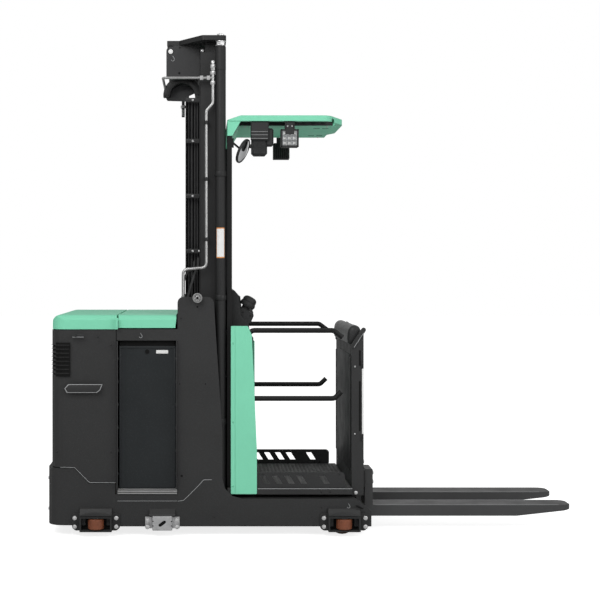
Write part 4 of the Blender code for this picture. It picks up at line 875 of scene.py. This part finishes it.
# overhead guard and what hangs below it
def guard_dress():
    low, high = GUARD
    under = high.z - GUARD_SHEET
    # dark filler in the long slots, the small slots of the tray as flat dark shapes of painted shade, and the
    # screws of the tray
    x0, x1 = place(239.5, 121.2, -0.400).x, place(334.6, 121.2, -0.400).x
    filler = []
    for s in SIDES.values():
        filler += [box((x0 + 0.01, s * 0.302, high.z - 0.020), (x1 - 0.02, s * 0.358, high.z - 0.0135),
                       0.001),
                   box((x0, s * 0.3004, high.z - 0.0455), (x1, s * 0.3030, high.z - 0.0135), 0.0006)]
        filler += [box((x - 0.012, s * 0.303, high.z - 0.040), (x + 0.012, s * 0.3075, high.z - 0.028), 0.002)
                   for x in rows(x0 + 0.05, (x1 - x0 - 0.1) / 8, 9)]
    piece("guard_slot_filler", MOULDED, "cabin", *filler)
    tray = under - 0.0152
    piece("guard_tray_slot_shades", SHADOW, "cabin",
          *[box((x - 0.018, y - 0.006, tray - 0.0006), (x + 0.018, y + 0.006, tray + 0.0004))
            for x in (0.035, 0.085) for y in (0.18, -0.18)])
    piece("guard_tray_screws", BOLT, "cabin",
          *[button((low.x + dx, y, tray), (0, 0, -1), 0.0065) for dx in (0.10, 0.33, 0.56)
            for y in (-0.27, 0.27)])
    for side, s in SIDES.items():
        out = (0, s, 0)
        lamp_low, lamp_high = box_of(f"side_lamp_{side}")
        cx = (lamp_low.x + lamp_high.x) / 2
        cz = lamp_low.z + 0.050
        face = s * 0.385
        back = s * 0.335
        # frame of the lens, cooling fins on the back
        h, t = 0.0495, 0.0095
        bars = (((cx - h, cz - h), (cx + h, cz - h + t)), ((cx - h, cz + h - t), (cx + h, cz + h)),
                ((cx - h, cz - h), (cx - h + t, cz + h)), ((cx + h - t, cz - h), (cx + h, cz + h)))
        piece(f"lamp_frame_{side}", MOULDED, "cabin",
              *[box((a[0], face - s * 0.001, a[1]), (b[0], face + s * 0.0055, b[1]), 0.0018) for a,
                b in bars],
              *[box((x - 0.002, back - s * 0.014, cz - 0.042), (x + 0.002, back + s * 0.002, cz + 0.042),
                    0.0008)
                for x in rows(cx - 0.039, 0.013, 7)])
        # silver reflector with three rows of cells
        cell = (2 * h - 2 * t) / 3
        centres = [(x, face, z) for x in rows(cx - h + t + cell / 2, cell, 3)
                   for z in rows(cz - h + t + cell / 2, cell, 3)]
        cup = [(cell * 0.68, 0.0038), (cell * 0.50, 0.0034), (cell * 0.30, 0.0014), (cell * 0.16, 0.0006),
               (0, 0.0005)]
        led = [(cell * 0.17, 0.0006), (cell * 0.15, 0.0020), (cell * 0.08, 0.0028), (0, 0.0030)]
        piece(f"lamp_reflector_{side}", REFLECTOR, "cabin",
              *[lathe(cup, at, out, 4, math.pi / 4) for at in centres], angle=20)
        piece(f"lamp_leds_{side}", LED, "cabin", *[lathe(led, at, out, 12) for at in centres])
        # bracket ears and screws
        piece(f"lamp_bracket_{side}", BLACK, "cabin",
              *[box((x - 0.002, s * 0.355, cz + 0.048), (x + 0.002, s * 0.398, under), 0.0008)
                for x in (cx - 0.0246, cx + 0.0246)],
              box((cx - 0.030, s * 0.352, under - 0.004), (cx + 0.030, s * 0.398, under - 0.0002), 0.001))
        piece(f"lamp_screws_{side}", BOLT, "cabin",
              *[button((cx + dx, s * 0.392, cz + 0.066), out, 0.0048) for dx in (-0.012, 0.012)])
    # fan: grille rings and spokes, trim lines and knob
    x, y, z = FAN[0].x + 0.048, -0.3752, 2.134
    spokes = [(0.034 * math.cos(a), 0.034 * math.sin(a)) for a in rows(0, math.pi / 8, 8)]
    piece("fan_grille", MOULDED, "cabin",
          *[lathe([(r - 0.0012, 0.0), (r - 0.0012, 0.0016), (r + 0.0012, 0.0016), (r + 0.0012, 0.0)],
                  (x, y, z), (0, -1, 0), 32) for r in (0.010, 0.018, 0.026, 0.034)],
          *[tube([(x - dx, y - 0.001, z - dz), (x + dx, y - 0.001, z + dz)], 0.0009, 6) for dx, dz in spokes])
    x = FAN[0].x
    piece("fan_trim_lines", GREY, "cabin",
          *[box((x + 0.002, -0.3912, z - 0.0010), (x + 0.094, -0.3892, z + 0.0010), 0.0004)
            for z in (2.176, 2.196, 2.214)],
          slot="plastic")
    piece("fan_knob", MOULDED, "cabin",
          lathe([(0, 0), (0.010, 0), (0.0112, 0.003), (0.0112, 0.013), (0.009, 0.016), (0, 0.016)],
                (x + 0.010, -0.352, place(252.0, 146.0, -0.37).z), (-1, -0.35, 0)))
    # mirror glass, slightly domed, in its rim
    at = Vector((CABIN_BACK + 0.084, -0.330, 2.115))
    facing = Vector((0.86, -0.30, -0.42)).normalized()
    piece("mirror_glass", GLASS, "cabin",
          lathe([(0.0640, 0.0100), (0.0560, 0.0135), (0.0420, 0.0175), (0.0250, 0.0205), (0.0100, 0.0218),
                 (0, 0.0220)], at, facing, 40))
    piece("mirror_rim", MOULDED, "cabin",
          lathe([(0.0640, 0.0098), (0.0645, 0.0125), (0.0680, 0.0135), (0.0708, 0.0110), (0.0712, 0.0030),
                 (0.0690, -0.0015), (0.0660, 0.0010)], at, facing, 40))


# operator's cabin
def cabin_dress():
    edge, top = PLATFORM[1].y, PLATFORM[1].z
    for side, s in SIDES.items():
        out = (0, s, 0)
        # screws and the vertical fold of the green cover
        face = -s * SKIN[0].y
        x = SKIN[0].x
        piece(f"skin_screws_{side}", MINT, "cabin",
              *[button((x + 0.012, face, z), out, 0.0052) for z in (0.27, 0.62, 1.05)])
        piece(f"skin_fold_{side}", MINT, "cabin",
              box((x + 0.0225, face - s * 0.0004, 0.232), (x + 0.0245, face + s * 0.0014, 1.140), 0.0006))
        # hinge bolt of the gate
        x = box_of(f"gate_{side}")[0].x + 0.022
        piece(f"gate_pivot_bolt_{side}", BOLT, "cabin", bolt((x, s * 0.4220, 1.040), out, 0.0085))
        # screws of the platform's edge and of the kick plate
        piece(f"platform_screws_{side}", MOULDED, "cabin",
              *[button((place(px, 490.3, -edge).x, s * edge, top - 0.018), out, 0.0055)
                for px in (321.4, 330.0)],
              *[button((x, s * 0.4206, 0.334), out, 0.0050) for x in (KICK[0].x + 0.03, KICK[1].x - 0.03)])
        # painted highlight on the edge of the platform, feet under the kick plate
        piece(f"platform_edge_highlight_{side}", GREY, "cabin",
              box((PLATFORM[0].x + 0.165, s * (edge - 0.0012), top - 0.0042),
                  (PLATFORM[1].x, s * (edge + 0.0008), top - 0.0010), 0.0006), slot="dark")
        piece(f"kick_plate_feet_{side}", BLACK, "cabin",
              *[box((x - 0.004, s * 0.404, top), (x + 0.004, s * 0.4155, top + 0.022), 0.001)
                for x in (0.075, 0.105)])
    # floor mat with ribs that turn from one to the next
    x0, x1 = CONSOLE[1].x + 0.020, WALL[0].x - 0.010
    diamond = ((-0.0085, 0), (-0.005, -0.0022), (0.005, -0.0022), (0.0085, 0), (0.005, 0.0022),
               (-0.005, 0.0022))
    ribs = []
    for i, x in enumerate(rows(x0 + 0.022, (x1 - x0 - 0.044) / 21, 22)):
        for k, y in enumerate(rows(-0.372, 0.744 / 25, 26)):
            turn = RIB_SLANT + (0.0 if (i + k) % 2 else math.pi / 2)
            c, t = math.cos(turn), math.sin(turn)
            ribs.append(prism([(x + u * c - v * t, y + u * t + v * c) for u, v in diamond], top + 0.003,
                              top + 0.0050, "Z"))
    piece("floor_mat", MAT, "cabin", box((x0, -0.392, top), (x1, 0.392, top + 0.0035), 0.0015), *ribs)
    # console front: knee pad, panels and screws
    x = CONSOLE[1].x
    piece("knee_pad", VINYL, "cabin", box((x - 0.001, -0.285, 0.70), (x + 0.010, 0.285, 0.98), 0.006, 3))
    piece("console_panels", MOULDED, "cabin",
          *[box((x - 0.001, -0.285, z), (x + 0.0035, 0.285, z + 0.190), 0.0015) for z in (0.285, 0.485)])
    piece("console_screws", BOLT, "cabin",
          *[button((x + 0.0035, y, z), (1, 0, 0), 0.0050) for y in (-0.265, 0.265)
            for z in (0.30, 0.46, 0.50, 0.66)])


def controls():
    """Display, keys, stop button and the two grips on the control panel."""
    low_end = Vector((-0.3544, 0, 1.150))
    high_end = Vector((POST_FRONT + 0.052, 0, 1.200))
    slope = (high_end - low_end).normalized()
    out = Vector((slope.z, 0, -slope.x))
    seat = (low_end + high_end) / 2
    # display on the upright part of the panel
    up = (Vector((POST_FRONT + 0.040, 0, 1.310)) - high_end).normalized()
    forward = Vector((up.z, 0, -up.x))

    @form
    def panel_box(bm, v0, v1, y0, y1, h0, h1, bevel):
        made = bmesh.ops.create_cube(bm, size=1.0)["verts"]
        edges = list(dict.fromkeys(e for v in made for e in v.link_edges))
        for v in made:
            a = v0 + (v1 - v0) * (v.co.x + 0.5)
            y = y0 + (y1 - y0) * (v.co.y + 0.5)
            h = h0 + (h1 - h0) * (v.co.z + 0.5)
            v.co = high_end + up * a + forward * h + Vector((0, y, 0))
        bmesh.ops.bevel(bm, geom=edges, offset=bevel, segments=2, affect="EDGES", profile=0.5)

    piece("display_bezel", MOULDED, "cabin", panel_box(0.012, 0.098, -0.085, 0.085, -0.001, 0.010, 0.003))
    piece("display_glass", SCREEN, "cabin", panel_box(0.020, 0.090, -0.072, 0.072, 0.008, 0.0106, 0.0008))
    piece("panel_keys", GREY, "cabin",
          *[panel_box(0.030, 0.054, y - 0.011, y + 0.011, -0.001, 0.004, 0.0015)
            for y in rows(0.115, 0.032, 5)],
          slot="plastic")
    piece("stop_button", RED, "cabin",
          lathe([(0.014, -0.001), (0.014, 0.014), (0.020, 0.016), (0.0205, 0.024), (0.016, 0.029),
                 (0, 0.030)],
                seat + Vector((0, 0.245, 0)), out, 28))
    # hand grip with its base and thumb switch
    base = seat - out * 0.001 + Vector((0, 0.100, 0))
    piece("hand_grip", MOULDED, "cabin",
          lathe([(0.034, 0), (0.034, 0.005), (0.029, 0.012), (0.026, 0.030), (0.031, 0.046), (0.029, 0.060),
                 (0.018, 0.068), (0, 0.070)], base, out, 32))
    piece("grip_switch", GREY, "cabin",
          lathe([(0.0095, 0), (0.0095, 0.005), (0.007, 0.007), (0, 0.0072)], base + out * 0.068, out),
          slot="plastic")
    # grip ring round the steering disc, screws of its hub and the palm rest on top
    nose = Vector((SKIN[1].x - 0.0066, STEER_Y, 1.2031))
    crest = Vector((POST_FRONT + 0.0476, STEER_Y, 1.248))
    along = (crest - nose).normalized()
    up = Vector((along.z, 0, -along.x))
    across = up.cross(along)
    disc = (nose + crest) / 2 + along * 0.012 + up * 0.016
    knurls = [disc + (along * math.cos(a) + across * math.sin(a)) * 0.0428 for a in rows(0, math.pi / 9, 18)]
    piece("steering_rim", MOULDED, "cabin",
          lathe([(0.0400, 0.003), (0.0424, 0.005), (0.0432, 0.014), (0.0424, 0.024), (0.0400, 0.027)], disc,
                up, 48),
          *[tube([at + up * 0.007, at + up * 0.022], 0.0016, 6) for at in knurls])
    piece("steering_hub_screws", MOULDED, "cabin",
          *[button((nose.x + dx, STEER_Y + d * 0.0602, nose.z + dz), (0, d, 0), 0.0052)
            for dx, dz in ((-0.062, 0.014), (-0.022, -0.006)) for d in (-1, 1)])
    piece("steering_palm_rest", MOULDED, "cabin",
          lathe([(0.0300, 0.0260), (0.0385, 0.0275), (0.0400, 0.0340), (0.0392, 0.0440), (0.0340, 0.0535),
                 (0.0240, 0.0590), (0.0120, 0.0612), (0, 0.0616)], disc, up, 40))


# load wall, pad and forks
def wall_dress():
    x0, x1 = WALL[0].x, WALL[1].x
    for side, s in SIDES.items():
        out = (0, s, 0)
        face = s * WALL[1].y
        # slanted strap on the top of the cheek, and a painted highlight as a thin grey rim along its lit edge
        low_end = Vector((x0 + 0.0075, 1.0340))
        high_end = Vector((x1 - 0.0005, 1.1225))
        lean = (high_end - low_end).normalized()
        cross = Vector((lean.y, -lean.x))
        strap = []
        for centre, start in ((high_end, 0), (low_end, 180)):
            for a in rows(math.radians(start), math.pi / 12, 13):
                strap.append(tuple(centre + (cross * math.cos(a) + lean * math.sin(a)) * 0.0128))
        piece(f"cheek_strap_{side}", DARK, "cabin",
              prism(strap, face - s * 0.002, face + s * 0.0065, "Y", 0.0016))
        # the grey rim is a painted highlight along the lit edge of the strap
        ends = [low_end + cross * 0.0085 + lean * t for t in (-0.004, 0.092)]
        piece(f"cheek_rim_highlight_{side}", GREY, "cabin",
              tube([(p.x, face + s * 0.0066, p.y) for p in ends], 0.0017, 6), slot="dark")
        # two long grooves in the cheek, drawn as flat strips of painted shade
        piece(f"cheek_groove_shades_{side}", SHADOW, "cabin",
              *[box((x0 + 0.040, face - s * 0.0003, z0), (x0 + 0.050, face + s * 0.0006, z1))
                for z0, z1 in ((0.925, 1.010), (0.565, 0.840))])
        # pale guide strip on the front edge between its brackets
        piece(f"cheek_strip_{side}", WHITE, "cabin",
              box((x1 - 0.009, face - s * 0.002, 0.545), (x1 - 0.0003, face + s * 0.0012, 0.915), 0.0009))
        piece(f"cheek_strip_ends_{side}", BLACK, "cabin",
              *[box((x1 - 0.016, face - s * 0.002, z - 0.020), (x1 - 0.0003, face + s * 0.0035, z + 0.020),
                    0.0012)
                for z in (0.530, 0.930)])
        piece(f"cheek_bolts_{side}", BOLT, "cabin",
              bolt((place(355.8, 493.9, -WALL[1].y).x, face, WALL[0].z + 0.014), out, 0.0070),
              *[button((x0 + 0.018, face, z), out, 0.0050) for z in (0.55, 0.92)])
    # moulded lining and rails on the operator's side of the wall, stiffeners on the load side
    piece("wall_lining", MOULDED, "cabin", box((x0 - 0.0040, -0.330, 0.34), (x0 + 0.001, 0.330, 0.985),
                                               0.002))
    piece("wall_side_rails", BLACK, "cabin",
          *[box((x0 - 0.0065, y - 0.010, 0.36), (x0 + 0.001, y + 0.010, 0.97), 0.003)
            for y in (-0.350, 0.350)])
    piece("wall_stiffeners", DARK, "cabin",
          *[box((x1 - 0.012, y - 0.023, z - 0.010), (x1 - 0.004, y + 0.023, z + 0.010), 0.0015)
            for z in rows(0.52, 0.16, 3) for y in (-0.363, 0.363)])


@form
def pad_loft(bm):
    """Section of the pad carried along the wall: ends close in and seams pull in by a few millimetres."""
    low, high = PAD
    section = [(-0.014, 0.0005), (0.016, 0.0), (0.044, 0.0005), (0.055, 0.022), (0.0585, 0.052),
               (0.0560, 0.080),
               (0.045, 0.100), (0.026, 0.1068), (0.006, 0.1040), (-0.010, 0.090), (-0.0175, 0.068),
               (-0.0190, 0.040), (-0.0175, 0.016)]
    centre = (0.020, 0.050)
    rings = []
    for t in rows(-1, 2 / 46, 47):
        near = max(0.0, 1 - abs(t))
        close = 1.0 - 0.34 * max(0.0, 1 - near / 0.035) ** 2.2
        crown = 1.0 + 0.012 * math.cos(t * math.pi * 2.5)
        for seam_at in (-0.93, -0.31, 0.31, 0.93):
            crown -= 0.050 * math.exp(-((t - seam_at) / 0.0055) ** 2)
        scale = close * crown
        rings.append([bm.verts.new((WALL[0].x + centre[0] + (u - centre[0]) * scale, t * (high.y - 0.0005),
                                    low.z + max(0.0003, centre[1] + (v - centre[1]) * scale))) for u,
                      v in section])
    count = len(section)
    for a, b in zip(rings, rings[1:]):
        for k in range(count):
            n = (k + 1) % count
            bm.faces.new((a[k], a[n], b[n], b[k]))
    bm.faces.new(rings[0])
    bm.faces.new(rings[-1])


def backrest():
    """Moulded foam pad along the top of the load wall, rounded by subdivision and kept above the wall."""
    pad = piece("backrest_cushion", VINYL, "cabin", pad_loft(), angle=70)
    smooth = pad.modifiers.new("soften", "SUBSURF")
    smooth.levels = 2
    smooth.render_levels = 2
    bpy.context.view_layer.update()
    graph = bpy.context.evaluated_depsgraph_get()
    soft = bpy.data.meshes.new_from_object(pad.evaluated_get(graph))
    pad.modifiers.clear()
    pad.data = soft
    soft.shade_smooth()
    for v in soft.vertices:
        v.co.z = max(v.co.z, PAD[0].z + 0.0002)
    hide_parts("backrest_pad")


def fork_dress():
    top = 0.136
    for side in SIDES:
        low, high = box_of(f"fork_{side}")
        mid = (low.y + high.y) / 2
        piece(f"fork_bolts_{side}", BOLT, "fork_carriage",
              *[bolt((low.x + 0.0453, mid + dy, z), (1, 0, 0), 0.0105) for z in (0.262, 0.312)
                for dy in (-0.035, 0.035)])
        # bright band along the upper edges: partly wear, partly painted highlight
        piece(f"fork_edge_wear_highlights_{side}", GREY, "fork_carriage",
              *[box((low.x + 0.060, y - 0.0028, top - 0.0006), (high.x - 0.075, y + 0.0028, top + 0.0006),
                    0.0004)
                for y in (low.y + 0.004, high.y - 0.004)])


# stage, light and camera
FLOOR_TONE = 0.66
FLOOR_GLOW = 0.80
SOFT_LIGHT = 0.46


def stage():
    bm = bmesh.new()
    bmesh.ops.create_grid(bm, x_segments=2, y_segments=2, size=30.0)
    mesh = bpy.data.meshes.new("floor")
    bm.to_mesh(mesh)
    bm.free()
    floor = bpy.data.objects.new("floor", mesh)
    bpy.context.scene.collection.objects.link(floor)
    # pale floor that the camera sees as white and that keeps the truck's shadow
    g = Graph("floor_pale")
    g.shader.inputs["Base Color"].default_value = (FLOOR_TONE, FLOOR_TONE, FLOOR_TONE, 1)
    g.shader.inputs["Roughness"].default_value = 0.9
    g.shader.inputs["Specular IOR Level"].default_value = 0.0
    path = g.node("ShaderNodeLightPath")
    seen = g.math("MAXIMUM", path.outputs["Is Camera Ray"], path.outputs["Is Transmission Ray"])
    glow = g.node("ShaderNodeEmission")
    glow.inputs["Color"].default_value = (1, 1, 1, 1)
    g.link(g.math("MULTIPLY", seen, FLOOR_GLOW), glow.inputs["Strength"])
    add = g.node("ShaderNodeAddShader")
    g.link(g.shader.outputs[0], add.inputs[0])
    g.link(glow.outputs[0], add.inputs[1])
    out = [n for n in g.tree.nodes if n.type == "OUTPUT_MATERIAL"][0]
    g.link(add.outputs[0], out.inputs["Surface"])
    mesh.materials.append(g.material)

    # soft world light, which the camera sees as white
    world = bpy.data.worlds.new("studio")
    bpy.context.scene.world = world
    world.use_nodes = True
    nodes, links = world.node_tree.nodes, world.node_tree.links
    nodes.clear()
    path = nodes.new("ShaderNodeLightPath")
    seen = nodes.new("ShaderNodeMath")
    seen.operation = "MAXIMUM"
    links.new(path.outputs["Is Camera Ray"], seen.inputs[0])
    links.new(path.outputs["Is Transmission Ray"], seen.inputs[1])
    mix = nodes.new("ShaderNodeMixShader")
    links.new(seen.outputs[0], mix.inputs[0])
    for socket, strength in ((1, SOFT_LIGHT), (2, 1.0)):
        light = nodes.new("ShaderNodeBackground")
        light.inputs["Color"].default_value = (1, 1, 1, 1)
        light.inputs["Strength"].default_value = strength
        links.new(light.outputs[0], mix.inputs[socket])
    end = nodes.new("ShaderNodeOutputWorld")
    links.new(mix.outputs[0], end.inputs["Surface"])

    for name, at, aim, size, power in (("key", (-2.6, -4.6, 4.6), (-0.2, 0, 1.0), (4.0, 3.0), 172),
                                       ("fill", (3.4, -4.2, 2.6), (0.2, 0, 0.9), (3.5, 3.0), 100),
                                       ("top", (0.0, 0.3, 5.6), (0, 0, 0.8), (5.0, 4.0), 14),
                                       ("back", (0.5, 5.0, 3.2), (0, 0, 1.0), (4.0, 3.0), 14)):
        light = bpy.data.lights.new(name, "AREA")
        light.shape = "RECTANGLE"
        light.size, light.size_y = size
        light.energy = power
        made = bpy.data.objects.new(name, light)
        bpy.context.scene.collection.objects.link(made)
        made.location = at
        made.rotation_euler = (Vector(aim) - Vector(at)).to_track_quat("-Z", "Y").to_euler()

    lens = bpy.data.cameras.new("photo_camera")
    lens.sensor_fit = "HORIZONTAL"
    lens.sensor_width = 36.0
    lens.lens = 36.0 * FOCAL_PX / FRAME_PX
    lens.shift_x = 0.5 - AXIS_PX[0] / FRAME_PX
    lens.shift_y = AXIS_PX[1] / FRAME_PX - 0.5
    lens.clip_end = 200.0
    camera = bpy.data.objects.new("photo_camera", lens)
    bpy.context.scene.collection.objects.link(camera)
    camera.location = CAMERA_AT
    camera.rotation_euler = (math.pi / 2, 0.0, 0.0)
    bpy.context.scene.camera = camera
    bpy.context.scene.view_settings.view_transform = "Standard"


rear_body()
hook_mark("hook_mark_box", 173.2, 58.6, "inner_mast", HEADBOX[1].y, 0.030)
hook_mark("hook_mark_rail", 141.0, 335.6, "chassis", HALF, 0.026)
hook_mark("hook_mark_leg", 348.9, 506.0, "chassis", HALF, 0.024)
battery_dress()
side_plates()
running_gear()
mast_dress()
head_dress()
guard_dress()
cabin_dress()
controls()
wall_dress()
backrest()
fork_dress()
stage()
